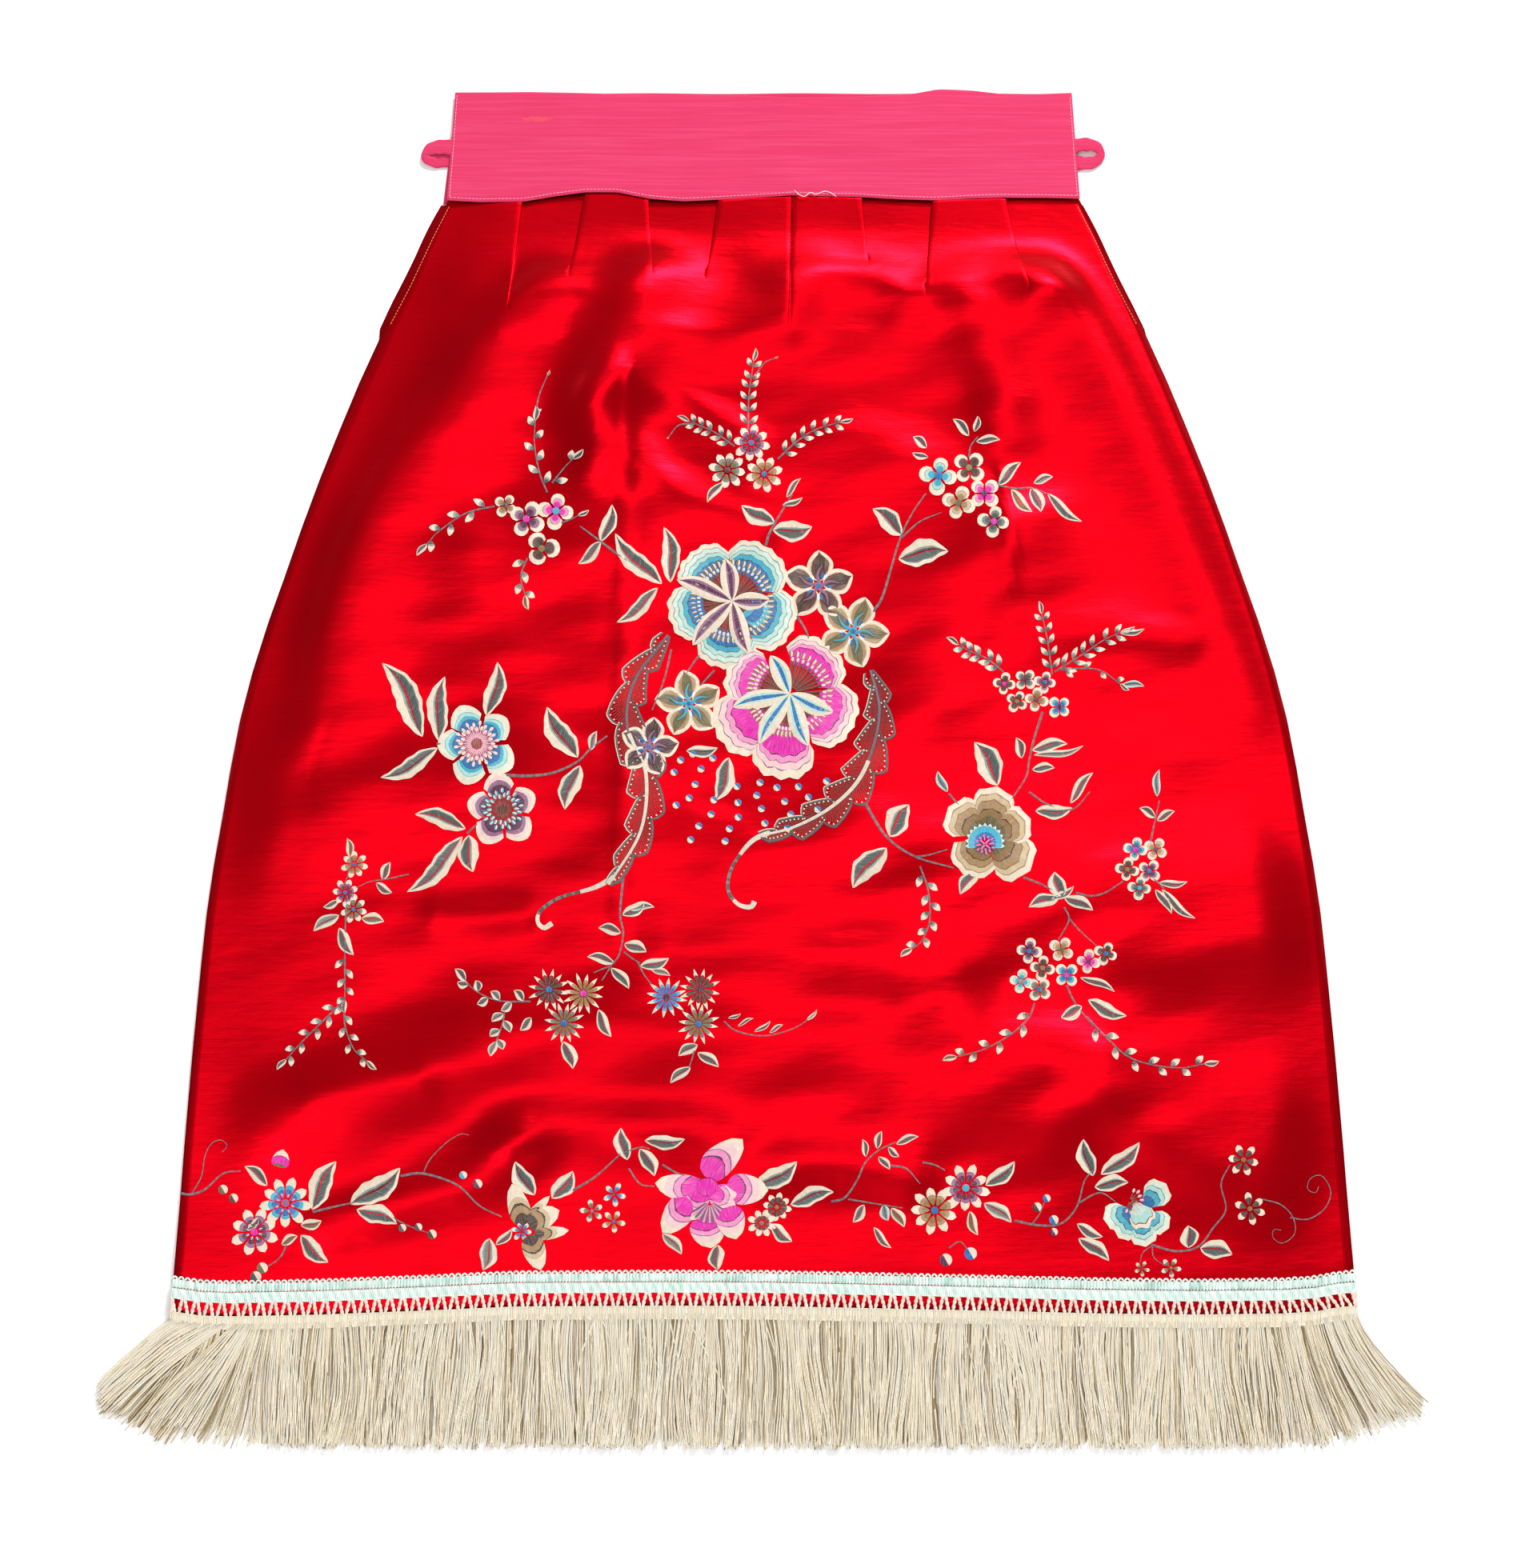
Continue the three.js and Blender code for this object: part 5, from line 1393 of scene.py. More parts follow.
HEM_BLOOMS = each(Bloom, [
    (357, 1504, 32, "blue", "mauve", 10, "daisy", 9), (318, 1540, 30, "plum", "magenta", 20, "daisy", 8),
    (768, 1493, 15, "blue", "umber", 10, "daisy", 5), (740, 1514, 15, "olive", "mauve", 40, "daisy", 5),
    (767, 1527, 15, "bronze", "blue", 10, "daisy", 5), (971, 1509, 18, "brown", "bronze", 10, "daisy", 8),
    (952, 1529, 18, "umber", "grey", 20, "daisy", 8),
    (1207, 1485, 30, "plum", "turquoise", 10, "daisy", 9),
    (1168, 1513, 30, "bronze", "blue", 20, "daisy", 9),
    (1554, 1450, 20, "brown", "bronze", 10, "daisy", 6),
    (1562, 1511, 20, "brown", "bronze", 20, "daisy", 6),
    (1427, 1586, 10, "bronze", "plum", 10, "daisy", 5),
    (1463, 1585, 13, "olive", "bronze", 10, "daisy", 5),
])
HEM_DOTS = each(Dot, [
    (503, 1535, 5, "slate"), (523, 1534, 5, "plum"), (540, 1543, 6, "brown"), (328, 1585, 7, "olive"),
    (320, 1596, 7, "slate"), (579, 1469, 5, "turquoise"), (597, 1480, 6, "plum"), (1182, 1575, 8, "plum"),
    (1213, 1567, 8, "blue"), (1296, 1509, 6, "brown"), (1308, 1498, 5, "blue"), (1317, 1525, 6, "blue"),
    (1317, 1540, 5, "plum"), (279, 1487, 6, "olive"), (292, 1498, 6, "umber"),
])
MAGENTA_LOTUS = each(Blade, [
    ((884, 1474), (928, 1424), 38, -0.06), ((878, 1484), (819, 1479), 34, -0.06),
    ((868, 1500), (828, 1541), 36, 0.06), ((908, 1486), (960, 1488), 38), ((908, 1508), (920, 1549), 36),
    ((882, 1520), (889, 1560), 44), ((880, 1484), (860, 1526), 34, 0.08),
    ((892, 1484), (914, 1520), 32, -0.06), ((886, 1486), (929, 1487), 24, 0.2),
])
BROWN_FLOWER = each(Blade, [
    ((655, 1532), (640, 1480), 27), ((658, 1526), (687, 1495), 12), ((660, 1530), (699, 1513), 29),
    ((668, 1544), (711, 1538), 16), ((662, 1544), (676, 1588), 28),
])
BLUE_LOTUS = each(Petal, [
    (-46, 33, 1.06, 3), (168, 32, 1.02, 3), (30, 31, 0.94, 3), (128, 29, 0.94, 3), (80, 31, 1.0, 3),
])
LOTUS_BANDS = [
    (0.34, "blue"), (0.38, "slate"), (0.56, "turquoise"), (0.6, "slate"), (0.74, "mint"), (0.78, "ash"),
    (0.88, "palemint"), (1, "cream"),
]


def draw(stitching, leaves=(), stems=(), sprigs=(), blooms=()):
    for s in stems:
        stitching.stem(*s)
    for s in sprigs:
        stitching.sprig(*s)
    for i, leaf in enumerate(leaves):
        stitching.leaf((leaf.x, leaf.y), (leaf.tip_x, leaf.tip_y), leaf.width, leaf.kind,
                       0.07 * (1, -1)[i % 2])
    for b in blooms:
        stitching.bloom(*b)


# Flower centres on the page, and the tips of the two great flowers' pistils.
MAGENTA_CENTRE, BLUE_CENTRE = (987, 868), (915, 752)
MAGENTA_PISTILS = [(963, 820), (1042, 891), (1010, 933), (949, 930), (916, 884)]
BLUE_PISTILS = [(906, 699), (962, 750), (936, 818), (866, 807), (846, 725)]
INNER_BANDS = [(0.3, "turquoise"), (0.34, "slate"), (0.64, "blue"), (0.68, "slate"), (1, "turquoise")]
LEFT_BLUE, LEFT_PLUM = (596, 930), (628, 1012)
TAN_CENTRE, TAN_HEART, TAN_SEEDS = (1233, 1046), (1231, 1054), (1231, 1056)
LOTUS_RAYS, LOTUS_HEART = (887, 1502), (884, 1484)
HEM_BLUE, HEM_PLUM, BROWN_HEART = (357, 1504), (318, 1540), (652, 1539)
BUD_FOOT, BUD_TIP = (349, 1459), (354, 1437)
BLUE_LOTUS_CENTRE, BLUE_LOTUS_INNER, BLUE_LOTUS_SEEDS = (1424, 1514), (1416, 1500), (1412, 1501)
INNER_LOTUS_BANDS = [(0.5, "palemint"), (0.8, "mint"), (0.84, "wine"), (1, "cream")]

# The net of small dots between the feathers: its origin, its sides and where flowers lie on it.
NET_CENTRE = (948, 868)
NET_LEFT, NET_RIGHT, NET_LOW, NET_TURN = 836, 1040, 1066, 900
NET_GAPS = [(985, 880, 102), (897, 975, 24)]
NET_RAYS, NET_STEPS = 10, 6
LOOSE_THREAD = [(993, 238), (999, 244), (1006, 246), (1013, 241), (1020, 243), (1030, 239),
                (1038, 241), (1045, 246)]


def make_net(s):
    for ray in range(NET_RAYS):
        for step in range(NET_STEPS):
            way = toward(28 + 12.2 * ray + 2 * math.sin(step * 1.7))
            far = 100 + 18 * step + 9 * (ray % 2) + 2 * math.sin(3 * ray + step)
            x, y = NET_CENTRE + far * way
            behind = any(math.hypot(x - gx, y - gy) < size for gx, gy, size in NET_GAPS)
            low = NET_LOW - 0.35 * max(0, x - NET_TURN)
            if NET_LEFT < x < NET_RIGHT and y < low and not behind:
                s.disc((x, y), 4.6, ("cream", "blue"), 1, 0.5, 8, 40 + 15 * math.sin(ray * 2 + step))


def make_centre():
    s = Stitching(11)
    draw(s, CENTRE_LEAVES, CENTRE_STEMS, CENTRE_SPRIGS, CENTRE_BLOOMS)
    for name in ("left", "right"):
        s.feather(FEATHERS[name], 55, 7)
        hook = curve(HOOKS[name], 40)
        s.ribbon(hook[:14], np.linspace(3.6, 2.2, 14), ("cream", "pale"), 1)
        s.ribbon(hook[13:31], np.linspace(1.8, 2.2, 18), ("slate", "grey"), 1)
        s.ribbon(hook[30:], np.linspace(2.2, 3.4, 10), ("cream", "pale"), 1)
    make_net(s)
    s.peony(MAGENTA_CENTRE, 84, MAGENTA_PEONY, MAGENTA_BANDS, MAGENTA_PISTILS, "blue", "mint", 9)
    s.peony(BLUE_CENTRE, 81, BLUE_PEONY, BLUE_BANDS, BLUE_PISTILS, "plum", "mauve", 9)
    s.petal(BLUE_CENTRE, 25, 20, 50, 32, INNER_BANDS, 5, corner=0.35)
    for f in STARS:
        s.star(*f)
    s.piece("centre_embroidery")


def make_tan_peony(s):
    for i, p in enumerate(TAN_PEONY):
        s.petal(TAN_CENTRE, p.angle, 10, 60 * p.reach, p.half, TAN_BANDS, 1 + i % 3, p.scallops, 0.03,
                0.26, 0.9)
    for i in range(13):
        way = toward(170 + i * 200 / 12)
        s.spear(TAN_HEART + way * 6, TAN_HEART + way * 25, 8, [0.4, 0.8],
                ["blue", "turquoise", "palemint"], 5 + i % 2)
    for ring in range(3):
        s.ring(TAN_SEEDS, 3 + 4 * ring, 4 + 4 * ring, ("magenta", "pink"), 1.5, None, 20 * ring, 7)


def make_sprays():
    s = Stitching(23)
    draw(s, UPPER_LEAVES, UPPER_STEMS, UPPER_SPRIGS, UPPER_BLOOMS)
    draw(s, RIGHT_LEAVES, RIGHT_STEMS, RIGHT_SPRIGS, RIGHT_BLOOMS)
    draw(s, LEFT_LEAVES, LEFT_STEMS, LEFT_SPRIGS, LEFT_BLOOMS)
    draw(s, LOW_LEAVES, LOW_STEMS, LOW_SPRIGS, LOW_BLOOMS)
    for turn, far in ((0, 26), (9, 20)):
        s.ring(LEFT_BLUE, far, 20, ("blush", "cream"), 2.1, 2, turn, 4, line=("pink", "blush"))
        s.ring(LEFT_PLUM, far - 2, 18, ("turquoise", "white"), 2.1, 2, turn, 4)
    make_tan_peony(s)
    s.piece("spray_embroidery")


def make_blue_lotus(s):
    for i, p in enumerate(BLUE_LOTUS):
        s.petal(BLUE_LOTUS_CENTRE, p.angle, 8, 44 * p.reach, p.half, LOTUS_BANDS, 1 + i % 3, p.scallops,
                0.03, 0.3, 0.85)
    s.petal(BLUE_LOTUS_INNER, 62, 4, 38, 38, INNER_LOTUS_BANDS, 5, 3, 0.06, 0.3, 0.9)
    s.ring(BLUE_LOTUS_SEEDS, 15, 9, ("pink", "cream"), 1.9, 2, -80, 6, 200)


def make_border():
    s = Stitching(37)
    draw(s, HEM_LEAVES, HEM_STEMS, (), HEM_BLOOMS)
    for d in HEM_DOTS:
        s.disc((d.x, d.y), d.radius, (d.tone, "cream"), 2, 0.5, 12, 60)
    s.lotus(MAGENTA_LOTUS, ["magenta", "plum", "pink", "mauve", "blush", "cream"],
            [0.44, 0.47, 0.6, 0.63, 0.8])
    for i in range(15):
        way = toward(30 + 8.5 * i)
        s.ribbon(np.linspace(way * 5, way * 27, 6) + LOTUS_RAYS, 1.3, (("stem", "pink")[i % 2],), 5)
    s.disc(LOTUS_HEART, 11, ("magenta",), 6, 0.5, 10, 0, 1.3)
    s.lotus(BROWN_FLOWER, ["brown", "tan", "brown", "sand", "cream"], [0.3, 0.48, 0.54, 0.68])
    s.bloom(*BROWN_HEART, 13, "blue", "umber", 10, "daisy", 6)
    s.spear(BUD_FOOT, BUD_TIP, 22, [0.2, 0.66], ["olive", "magenta", "cream"], 1, 0.5, 0.5, arc=0.2)
    make_blue_lotus(s)
    s.ring(HEM_BLUE, 11, 8, ("pink",), 1.6, None, 0, 4)
    s.ring(HEM_PLUM, 9, 8, ("blue", "cream"), 1.6, None, 0, 4)
    s.piece("border_embroidery")


def dashes(tubes, line, gap, long, radius, tone_name):
    """Machine stitches along a line of points."""
    far = np.concatenate([[0], np.cumsum(np.linalg.norm(np.diff(line, axis=0), axis=1))])
    starts = np.arange(0, far[-1] - long, gap)
    t = starts[:, None] + np.linspace(0, long, 4)[None]
    paths = np.stack([np.interp(t, far, line[:, k]) for k in range(3)], axis=2)
    paths[:, 0, 2] -= radius
    paths[:, -1, 2] -= radius
    tubes.sweep(paths, radius, 5, 0.8, np.repeat(rgb(*tone_name)[None], len(paths), axis=0))


# Edge stitching: its lines on the waistband and beside the side slits.
BAND_SEAM, BAND_SEAM_IN, BAND_SEAM_TOP = 211.6, 1.9, 446.5
SLIT_TOP, SLIT_LOW, SLIT_IN = 364, 277, 2.6
ABOVE_BAND = 0.06  # metres


def make_stitching():
    """Edge stitching on the waistband and the side slits, and one loose thread."""
    t = Tubes()
    ground, half = MADE["ground"], MADE["cloth_half"]
    tree = BVHTree.FromObject(bpy.data.objects["front_band"], bpy.context.evaluated_depsgraph_get())
    low_x = np.linspace(-BAND_SEAM, BAND_SEAM, 160)
    low = np.column_stack([low_x, band_low(low_x) + BAND_SEAM_IN])
    left = np.column_stack([np.linspace(-211.7, -209, 40), np.linspace(369.5, BAND_SEAM_TOP, 40)])
    right = np.column_stack([np.linspace(211.7, 209, 40), np.linspace(370.5, BAND_SEAM_TOP, 40)])
    for line in (low, left, right):
        z = []
        for x, y in line:
            hit = tree.ray_cast(Vector((x * MM, y * MM, ABOVE_BAND)), Vector((0, 0, -1)))[0]
            z.append(hit.z / MM if hit else 5.0)
        dashes(t, np.column_stack([line, np.array(z) + 0.06]), 2.5, 1.9, 0.22, (250, 168, 186))
    for side in (-1, 1):
        y = np.linspace(SLIT_TOP, SLIT_LOW, 60)
        x = side * (half_width(y) - SLIT_IN)
        z = ground.at(x, y) + half + 0.05
        dashes(t, np.column_stack([x, y, z]), 2.4, 1.8, 0.2, (240, 150, 90))
    loose = curve(LOOSE_THREAD, 30)
    x, y = to_cloth(loose[:, 0], loose[:, 1], np.full(30, 6.4))
    z = 6.7 + 0.5 * np.sin(np.linspace(0, 7, 30))
    t.sweep(np.stack([x, y, z], axis=1)[None], 0.28, 5, 1, rgb(250, 240, 235)[None])
    t.piece("edge_stitching", "trim_thread", shade("trim_thread"))


def make_braid(name, node, floor, sides):
    """Two wrapped ribs, bars across the upper one and small loops along the top edge."""
    wall = BRAID_WALL
    mint, pale, deep = np.array(trim_settings().braid), rgb(240, 250, 244), rgb(128, 182, 166)
    rng = np.random.default_rng(5)
    t = Tubes()
    x = np.linspace(-TRIM_HALF, TRIM_HALF, RIB_RUNS * RUN_STEPS + 1)
    for rib in RIBS:
        swell = 1 - rib.depth * np.abs(np.sin(math.pi * x / rib.beat)) - 0.04 * np.sin(x / 5.1)
        path = np.stack([x, np.full(x.shape, rib.y), np.full(x.shape, floor + wall / 2)], axis=1)
        pieces = path[:-1].reshape(RIB_RUNS, RUN_STEPS, 3)
        joined = np.concatenate([pieces, np.vstack([pieces[1:, 0], path[-1:]])[:, None]], axis=1)
        size = swell[:-1].reshape(RIB_RUNS, RUN_STEPS)
        size = np.concatenate([size, np.append(size[1:, 0], swell[-1])[:, None]], axis=1)
        shades = np.array([mix(mint, pale, v) for v in rng.uniform(0, 1, RIB_RUNS)])
        t.sweep(joined, rib.tall * size, sides + 3, wall / 2 / rib.tall, shades)
    count = 2 * LATTICE_UNITS
    centre = -TRIM_HALF + (np.arange(count) + 0.5) * PITCH / 2
    angle = np.linspace(-0.5, math.pi + 0.5, 9)
    wide = PITCH / 4 * 0.82
    px = centre[:, None] + wide * np.cos(angle)[None]
    py = PICOT_FOOT + PICOT_TALL * np.sin(angle)[None] + 0 * px + rng.uniform(-0.15, 0.15, (count, 1))
    pz = floor + wall * 0.55 + 0.2 * np.sin(angle)[None] + 0 * px
    shades = mix(pale, mint, rng.uniform(0, 1, (count, 1)))
    t.sweep(np.stack([px, py, pz], axis=2), 0.62, sides, 1, shades)
    bars = -TRIM_HALF + (np.arange(2 * count) + 0.5) * PITCH / 4
    line = np.linspace(BAR_LOW, BAR_TOP, 6)
    arch = np.sin(math.pi * (line - BAR_LOW) / (BAR_TOP - BAR_LOW))
    bx = bars[:, None] + 0.25 * np.sin(line)[None]
    by = np.broadcast_to(line[None], bx.shape)
    bz = floor + wall * (0.72 + 0.3 * arch)[None] + 0 * bx
    shades = mix(deep, pale, rng.uniform(0.2, 1, (2 * count, 1)))
    t.sweep(np.stack([bx, by, bz], axis=2), 0.68, sides, 0.75, shades)
    wraps = np.arange(-TRIM_HALF + 0.6, TRIM_HALF - 0.5, WRAP_STEP)
    line = np.linspace(WRAP_LOW, WRAP_TOP, 6)
    arch = np.sin(math.pi * (line - WRAP_LOW) / (WRAP_TOP - WRAP_LOW))
    wx = wraps[:, None] + 0.12 * (line - WRAP_MIDDLE)[None]
    wy = np.broadcast_to(line[None], wx.shape)
    wz = floor + wall * (0.5 + 0.5 * arch)[None] + 0.06 + 0 * wx
    shades = mix(mint, pale, rng.uniform(0.3, 1, (len(wraps), 1)))
    t.sweep(np.stack([wx, wy, wz], axis=2), 0.6, sides, 0.7, shades)
    finish_trim(t, name, node, "gimp_braid")


def finish_trim(t, name, node, slot):
    """Lets a trim follow the hem's line and keeps it above the ground."""
    for points in t.points:
        points[:, 1] += hem_shift(points[:, 0], points[:, 1])
        points[:, 2] = np.maximum(points[:, 2], 0.02)
    piece = t.piece(name, slot, shade(slot))
    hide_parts(node)


def make_lattice(name, node, floor, sides):
    """Pairs of twisted legs between the braid and the fringe's foot."""
    rng = np.random.default_rng(7)
    t = Tubes()
    unit = np.arange(LATTICE_UNITS + 1)
    apex = -TRIM_HALF + unit * PITCH
    lean = 1.6 * smooth((unit - LATTICE_UNITS + 10) / 9)
    v = np.linspace(0, 1, 13)
    end = TRIM_HALF - 0.9  # middle of the last leg
    for side in (-1, 1):
        top_x = apex + side * 0.95 - lean
        low_x = apex + side * 2.55 + lean + rng.uniform(-0.25, 0.25, apex.shape)
        if side < 0:
            top_x[0] = low_x[0] = -end
        if side > 0:
            top_x[-1] = low_x[-1] = end
        top_x, low_x = np.clip(top_x, -end, end), np.clip(low_x, -end, end)
        base_x = mix(top_x[:, None], low_x[:, None], smooth(v)[None])
        y = mix(BRAID_LOW + 1.0, HEM - 0.8, v)
        for strand in (0, math.pi):
            phase = strand + 2 * math.pi * 1.6 * v + side
            x = base_x + 0.5 * np.cos(phase)[None]
            z = floor + 0.62 + 0.3 * np.sin(phase)[None] + 0 * x
            path = np.stack([x, np.broadcast_to(y[None], x.shape), z], axis=2)
            shades = mix(rgb(236, 214, 198), rgb(250, 236, 224), rng.uniform(0, 1, (len(x), 1)))
            t.sweep(path, 0.68, sides + 1, 0.75, shades)
    finish_trim(t, name, node, "trim_thread")


def make_fringe(name, node, strands, floor, low, seed, reach):
    """A woven foot and a thick fall of threads in clumps."""
    rng = np.random.default_rng(seed)
    t = Tubes()
    # deep is a painted shade colour, given to the lowest threads of the fall.
    cream, sand, deep = np.array(trim_settings().thread), rgb(252, 236, 202), rgb(166, 138, 84)
    cells = LATTICE_UNITS * 8
    x = -TRIM_HALF + (np.arange(cells) + 0.5) * PITCH / 8
    v = np.linspace(0, 1, 5)
    fx = x[:, None] + rng.uniform(-0.06, 0.06, (cells, 1)) + 0 * v[None]
    fy = mix(HEM - 0.1, FOOT_LOW + 0.4, v)[None] + 0 * fx
    slope = mix(floor + 0.65, low + 2.9, v)[None]
    in_unit = (np.arange(cells) % 8 == 0)[:, None]
    fz = slope - 0.3 * in_unit + rng.uniform(-0.05, 0.05, (cells, 1))
    shades = mix(cream, sand, rng.uniform(0, 1, (cells, 1)) ** 2)
    t.sweep(np.stack([fx, fy, fz], axis=2), 0.62, 4, 0.9, shades, math.pi / 4)
    for share in (0.56, 0.72):
        marks = np.arange(-TRIM_HALF + 0.8, TRIM_HALF - 0.8, 1.9)
        mx = marks[:, None] + np.linspace(0, 0.9, 3)[None]
        my = mix(HEM, FOOT_LOW, share) + 0 * mx
        mz = mix(floor + 0.65, low + 2.9, share) + 0.5 + 0 * mx
        t.sweep(np.stack([mx, my, mz], axis=2), 0.16, 4, 0.7, np.repeat(sand[None], len(marks), axis=0))
    root = np.sort(rng.uniform(-TRIM_HALF + 0.6, TRIM_HALF - 0.6, strands))
    layer = rng.uniform(0, 1, strands)
    clump = np.round(root / 4.4 + rng.uniform(-0.35, 0.35, strands)) * 4.4
    v = np.linspace(0, 1, 13)
    even = 1 - np.clip((np.abs(root) - 285) / 60, 0, 1)
    swept = np.clip((-296 - root) / 30, 0, 1) * (layer > 0.45)
    pull = 0.62 * smooth(v * 1.3)[None] * ((clump - root) * 0.8)[:, None]
    drift = (3.4 * np.sin(root / 23 + 1) + 2.4 * np.sin(root / 9.7) + 1.6 * np.sin(root / 4.3)) * even
    tip = along(TIPS, "root", "tip", root) + rng.normal(0, 1.8, strands) + drift * 0.7
    stray = rng.normal(0, 6, strands) * (rng.uniform(0, 1, strands) < 0.14)
    tip = np.clip(tip - 26 * swept + stray * even, -401, 401)
    end = along(TIPS, "root", "y", root) - rng.uniform(-4.2, 0.4, strands) * mix(2.2, 1, even)
    end = mix(FOOT_LOW, end + 16 * swept, reach)
    bend = mix(1.35, 0.85, swept)[:, None]
    sx = mix(root[:, None], tip[:, None], v[None] ** bend) + pull
    sway = (1.9 * np.sin(root / 13 + 2) + 1.3 * np.sin(root / 5.9) + 0.5 * stray) * even
    sx += sway[:, None] * np.sin(math.pi * 1.3 * v[None] + 0.9 * np.sin(root / 31)[:, None])
    sx += 0.55 * np.sin(v * 8 + rng.uniform(0, 6, (strands, 1))) * v[None]
    crimp = rng.uniform(0.1, 0.26, (strands, 1)) * np.sin(math.pi * np.arange(len(v)))[None]
    crimp = crimp + rng.uniform(0.12, 0.3, (strands, 1)) * (np.arange(len(v)) % 2 - 0.5)[None]
    sx += crimp * smooth(v * 3)[None]
    sy = mix(FOOT_LOW + 2.2 + 1.4 * layer[:, None], end[:, None], v[None])
    top = low + 3.5 - 0.8 * (1 - layer[:, None])
    hang = low + 0.45 + (0.3 + 1.6 * layer[:, None] + 1.2 * swept[:, None]) * (1 - 0.55 * v[None])
    sz = mix(top, hang, smooth(v * 2.2)[None])
    sz += 0.25 * np.sin(v * 9 + rng.uniform(0, 6, (strands, 1))) * smooth(v * 4)[None]
    thick = rng.uniform(0.36, 0.52, (strands, 1)) * mix(1.1, 0.9, v)[None]
    # Threads lying lower in the fall are painted from sand down to deep: a painted shade under the threads
    # above them; the upper ones are the light cream.
    blend = np.clip(layer + rng.normal(0, 0.2, strands), 0, 1)[:, None]
    shades = np.where(blend < 0.3, mix(deep, sand, blend / 0.3), mix(sand, cream, (blend - 0.3) / 0.7))
    t.sweep(np.stack([sx, sy, sz], axis=2), thick, 3, 0.9, shades, 0.5)
    finish_trim(t, name, node, "fringe_thread")


def make_trims():
    s = trim_settings()
    make_braid("front_braid_cords", "front_braid", TRIM_FLOOR, 5)
    make_lattice("front_lattice_legs", "front_lattice", TRIM_FLOOR, 5)
    make_fringe("front_fringe_threads", "front_fringe", s.front_strands, TRIM_FLOOR, 1.6, 3, 1.0)
    make_braid("back_braid_cords", "back_braid", 0.0, 3)
    make_lattice("back_lattice_legs", "back_lattice", 0.0, 3)
    make_fringe("back_fringe_threads", "back_fringe", s.back_strands, 0.0, 0.0, 9, 0.96)


FLOOR_HALF = 4.0
# Lamps: place and size in metres, and power against the key light's.
Lamp = namedtuple("Lamp", "name place size share")
LAMPS = each(Lamp, [
    ("key", (0.9, 2.5, 1.8), (1.0, 0.6), 1),
    ("top", (-0.1, 0.12, 2.7), (3.8, 1.0), 0.23),
    ("fill", (-1.4, -1.6, 2.2), (1.6, 1.6), 0.26),
    ("front", (0.5, -2.3, 0.9), (2.2, 0.6), 0.3),
])


def make_stage():
    scene = bpy.context.scene
    s = scene.skirt_stage
    for light in [o for o in scene.objects if o.type == "LIGHT"]:
        bpy.data.objects.remove(light)
    mesh = bpy.data.meshes.new("floor")
    h = FLOOR_HALF
    mesh.from_pydata([(-h, -h, 0), (h, -h, 0), (h, h, 0), (-h, h, 0)], [], [(0, 1, 2, 3)])
    floor = bpy.data.objects.new("floor", mesh)
    scene.collection.objects.link(floor)
    paper = Shade("floor_paper", Roughness=0.9, Specular_IOR_Level=0.1)
    fleck = paper.ramp(paper.noise(3.0, detail=4), 0.3, 0.8)
    paper.colour(paper.mix(fleck, (0.93, 0.93, 0.935, 1), (0.97, 0.97, 0.97, 1)))
    mesh.materials.append(paper.material)
    world = bpy.data.worlds.new("studio")
    scene.world = world
    world.use_nodes = True
    world.node_tree.nodes["Background"].inputs["Color"].default_value = (1, 1, 1, 1)
    world.node_tree.nodes["Background"].inputs["Strength"].default_value = s.sky
    for lamp in LAMPS:
        data = bpy.data.lights.new(lamp.name, "AREA")
        data.shape = "RECTANGLE"
        data.size, data.size_y = lamp.size
        data.energy = s.key * lamp.share
        light = bpy.data.objects.new(lamp.name, data)
        light.location = lamp.place
        light.rotation_euler = (-Vector(lamp.place)).to_track_quat("-Z", "Y").to_euler()
        scene.collection.objects.link(light)
    lens_data = bpy.data.cameras.new("camera")
    lens_data.lens = LENS
    lens_data.sensor_width = SENSOR
    lens_data.clip_end = 20
    camera = bpy.data.objects.new("camera", lens_data)
    camera.location = (
        AIM[0] * MM,
        (AIM[1] - CAMERA_FAR * math.sin(CAMERA_TILT)) * MM,
        CAMERA_FAR * math.cos(CAMERA_TILT) * MM,
    )
    camera.rotation_euler = Euler((CAMERA_TILT, 0, 0))
    scene.collection.objects.link(camera)
    scene.camera = camera
    scene.view_settings.view_transform = "Standard"
    scene.view_settings.look = "None"


def colour_setting(name, description, *seen):
    return FloatVectorProperty(name=name, description=description, default=tuple(rgb(*seen)), size=3,
                               min=0.0, max=1.0, subtype="COLOR")


class ClothSettings(bpy.types.PropertyGroup):
    """Sizes and colours of the silk and the cotton."""

    wall: FloatProperty(name="Wall", description="Thickness of the silk as shown", default=0.0006,
                        min=0.0002, unit="LENGTH")
    row_step: FloatProperty(name="Row step", description="Distance between rows of the panel's mesh",
                            default=0.0042, min=0.002, unit="LENGTH")
    folds: FloatProperty(name="Folds", description="Height of the thin silk's folds against the solid's",
                         default=1.35, min=0.0, max=1.4, subtype="FACTOR")
    silk: colour_setting("Silk", "Colour of the satin", 206, 0, 18)
    cotton: colour_setting("Cotton", "Colour of the waistbands and the loops", 212, 42, 92)
    cotton_slub: colour_setting("Slubs", "Colour of the cotton's thicker threads", 226, 76, 122)


class StitchSettings(bpy.types.PropertyGroup):
    """How proud the embroidery stands."""

    relief: FloatProperty(name="Relief", description="Height of the stitches against the real ones",
                          default=1.0, min=0.1, max=3.0, subtype="FACTOR")


class TrimSettings(bpy.types.PropertyGroup):
    """Thread counts and colours of the hem trims."""

    front_strands: IntProperty(name="Front threads", description="Threads in the front fringe",
                               default=2050, min=100)
    back_strands: IntProperty(name="Back threads", description="Threads in the back fringe",
                              default=900, min=100)
    braid: colour_setting("Braid", "Colour of the braid", 192, 228, 214)
    thread: colour_setting("Thread", "Lightest colour of the fringe", 255, 248, 228)


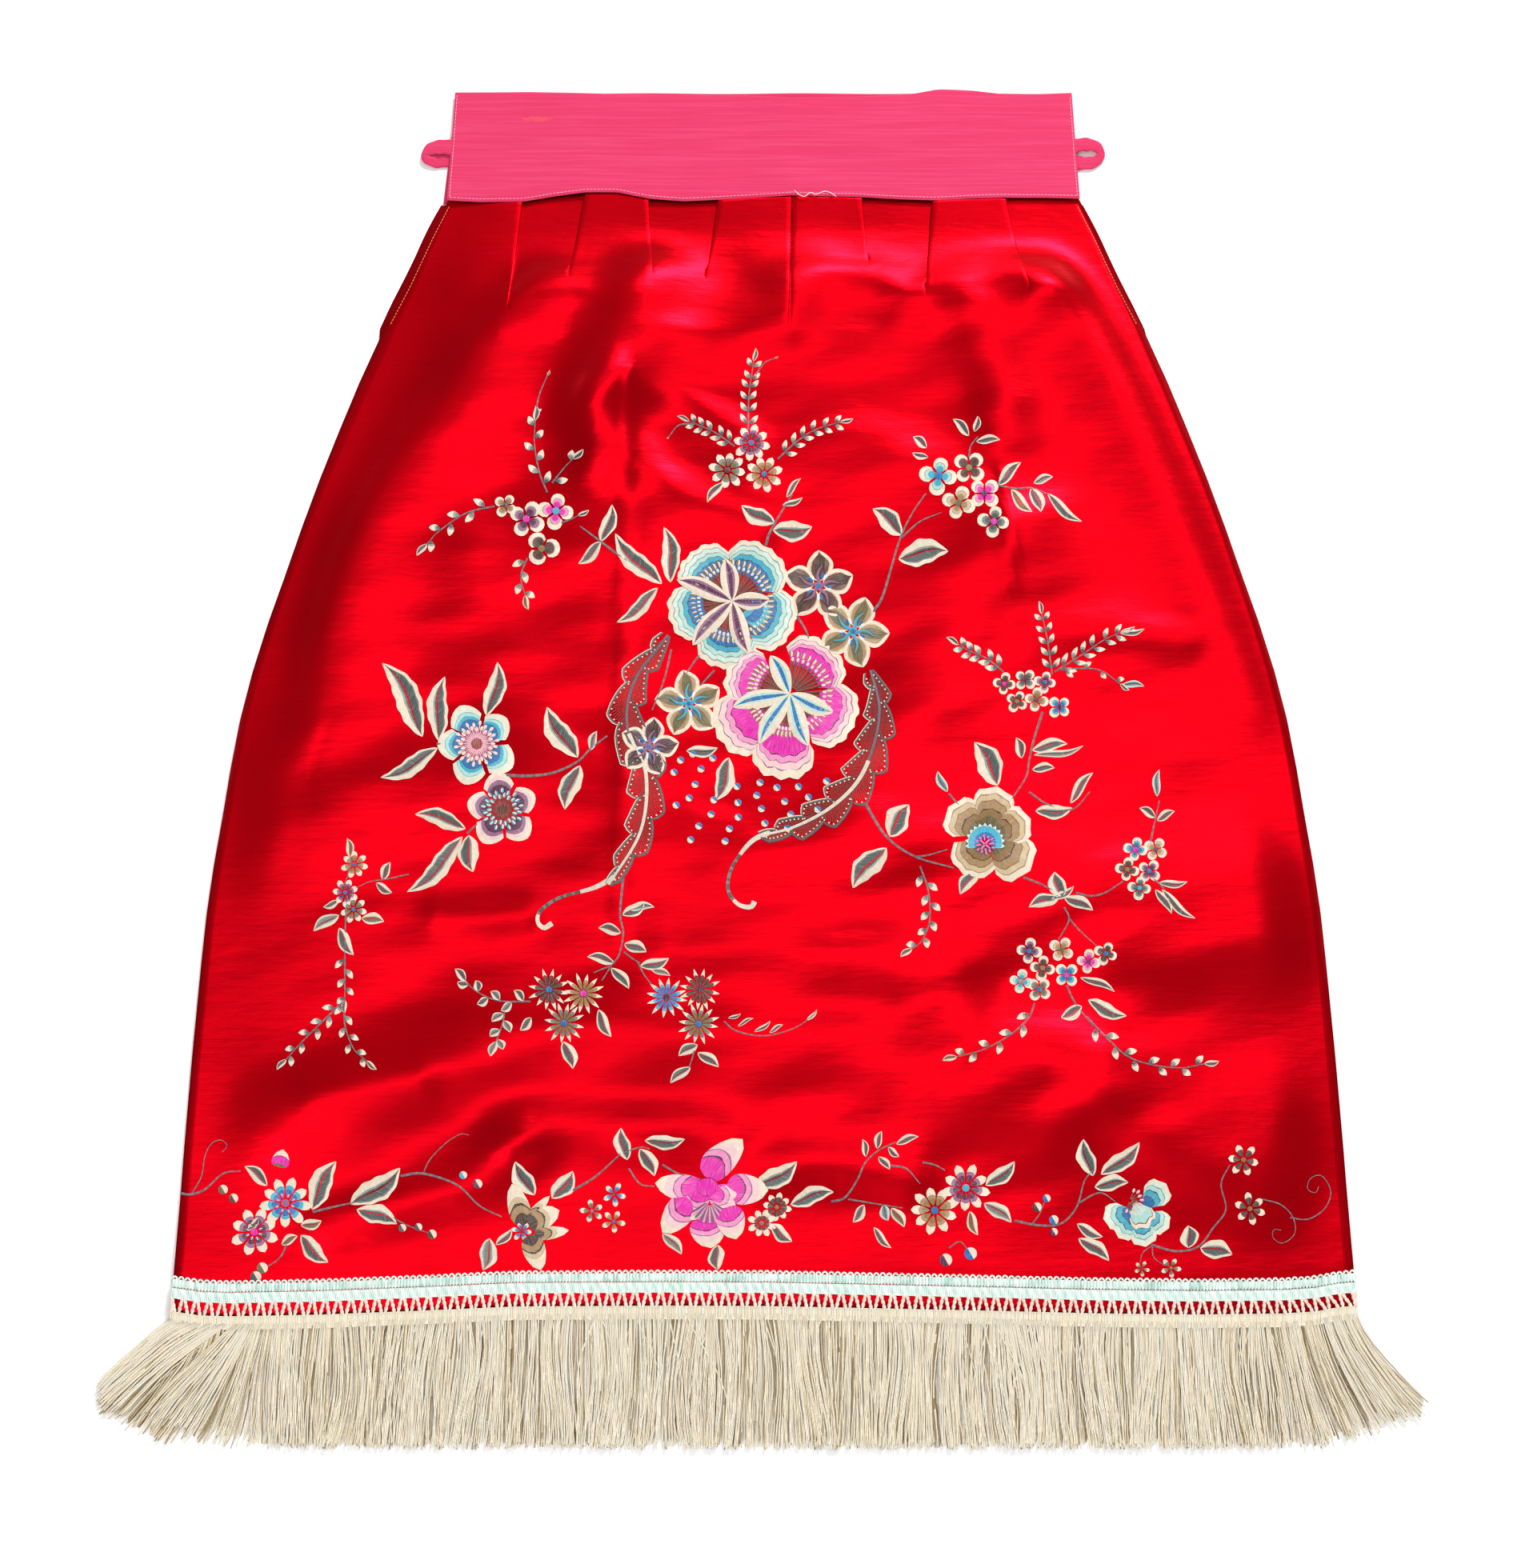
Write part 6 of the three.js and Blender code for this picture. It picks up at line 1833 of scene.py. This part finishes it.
class StageSettings(bpy.types.PropertyGroup):
    """Light on the stage."""

    key: FloatProperty(name="Key light", description="Power of the main light", default=102.0,
                       min=0.0, unit="POWER")
    sky: FloatProperty(name="Sky", description="Strength of the even light all round", default=0.22,
                       min=0.0)


class SKIRT_OT_front_cloth(bpy.types.Operator):
    """Builds the front panel with its pleats and folds."""

    bl_idname = "skirt.front_cloth"
    bl_label = "Front panel"

    def execute(self, context):
        make_front_panel()
        return {"FINISHED"}


class SKIRT_OT_back_cloth(bpy.types.Operator):
    """Builds the back panel under the front one."""

    bl_idname = "skirt.back_cloth"
    bl_label = "Back panel"

    def execute(self, context):
        make_back_panel()
        return {"FINISHED"}


class SKIRT_OT_waistbands(bpy.types.Operator):
    """Builds the two waistbands."""

    bl_idname = "skirt.waistbands"
    bl_label = "Waistbands"

    def execute(self, context):
        make_waistbands()
        return {"FINISHED"}


class SKIRT_OT_loops(bpy.types.Operator):
    """Builds the side loops."""

    bl_idname = "skirt.loops"
    bl_label = "Side loops"

    def execute(self, context):
        make_loops()
        return {"FINISHED"}


class SKIRT_OT_embroidery(bpy.types.Operator):
    """Embroiders the front panel."""

    bl_idname = "skirt.embroidery"
    bl_label = "Embroidery"

    def execute(self, context):
        make_centre()
        make_sprays()
        make_border()
        return {"FINISHED"}


class SKIRT_OT_edge_stitching(bpy.types.Operator):
    """Sews the visible edge stitching."""

    bl_idname = "skirt.edge_stitching"
    bl_label = "Edge stitching"

    def execute(self, context):
        make_stitching()
        return {"FINISHED"}


class SKIRT_OT_trims(bpy.types.Operator):
    """Builds the braid, the lattice and the fringe of both hems."""

    bl_idname = "skirt.trims"
    bl_label = "Hem trims"

    def execute(self, context):
        make_trims()
        return {"FINISHED"}


class SKIRT_OT_stage(bpy.types.Operator):
    """Sets the floor, the lights and the camera."""

    bl_idname = "skirt.stage"
    bl_label = "Stage"

    def execute(self, context):
        make_stage()
        return {"FINISHED"}


class SKIRT_PT_panel(bpy.types.Panel):
    """Lists the pieces of the skirt."""

    bl_label = "Embroidered skirt"
    bl_idname = "SKIRT_PT_panel"
    bl_space_type = "VIEW_3D"
    bl_region_type = "UI"
    bl_category = "Skirt"

    def draw(self, context):
        scene = context.scene
        for group in (scene.skirt_cloth, scene.skirt_stitch, scene.skirt_trim, scene.skirt_stage):
            box = self.layout.box()
            for key in group.__annotations__:
                box.prop(group, key)
        for step in STEPS:
            self.layout.operator(step.bl_idname)


STEPS = [SKIRT_OT_stage, SKIRT_OT_front_cloth, SKIRT_OT_back_cloth, SKIRT_OT_waistbands, SKIRT_OT_loops,
         SKIRT_OT_embroidery, SKIRT_OT_edge_stitching, SKIRT_OT_trims]
GROUPS = {"skirt_cloth": ClothSettings, "skirt_stitch": StitchSettings, "skirt_trim": TrimSettings,
          "skirt_stage": StageSettings}


def register():
    for item in [*GROUPS.values(), *STEPS, SKIRT_PT_panel]:
        bpy.utils.register_class(item)
    for name, group in GROUPS.items():
        setattr(bpy.types.Scene, name, PointerProperty(type=group))


def unregister():
    for name in GROUPS:
        delattr(bpy.types.Scene, name)
    for item in [SKIRT_PT_panel, *reversed(STEPS), *GROUPS.values()]:
        bpy.utils.unregister_class(item)


def main():
    register()
    for step in STEPS:
        area, name = step.bl_idname.split(".")
        getattr(getattr(bpy.ops, area), name)()


if __name__ == "__main__":
    main()
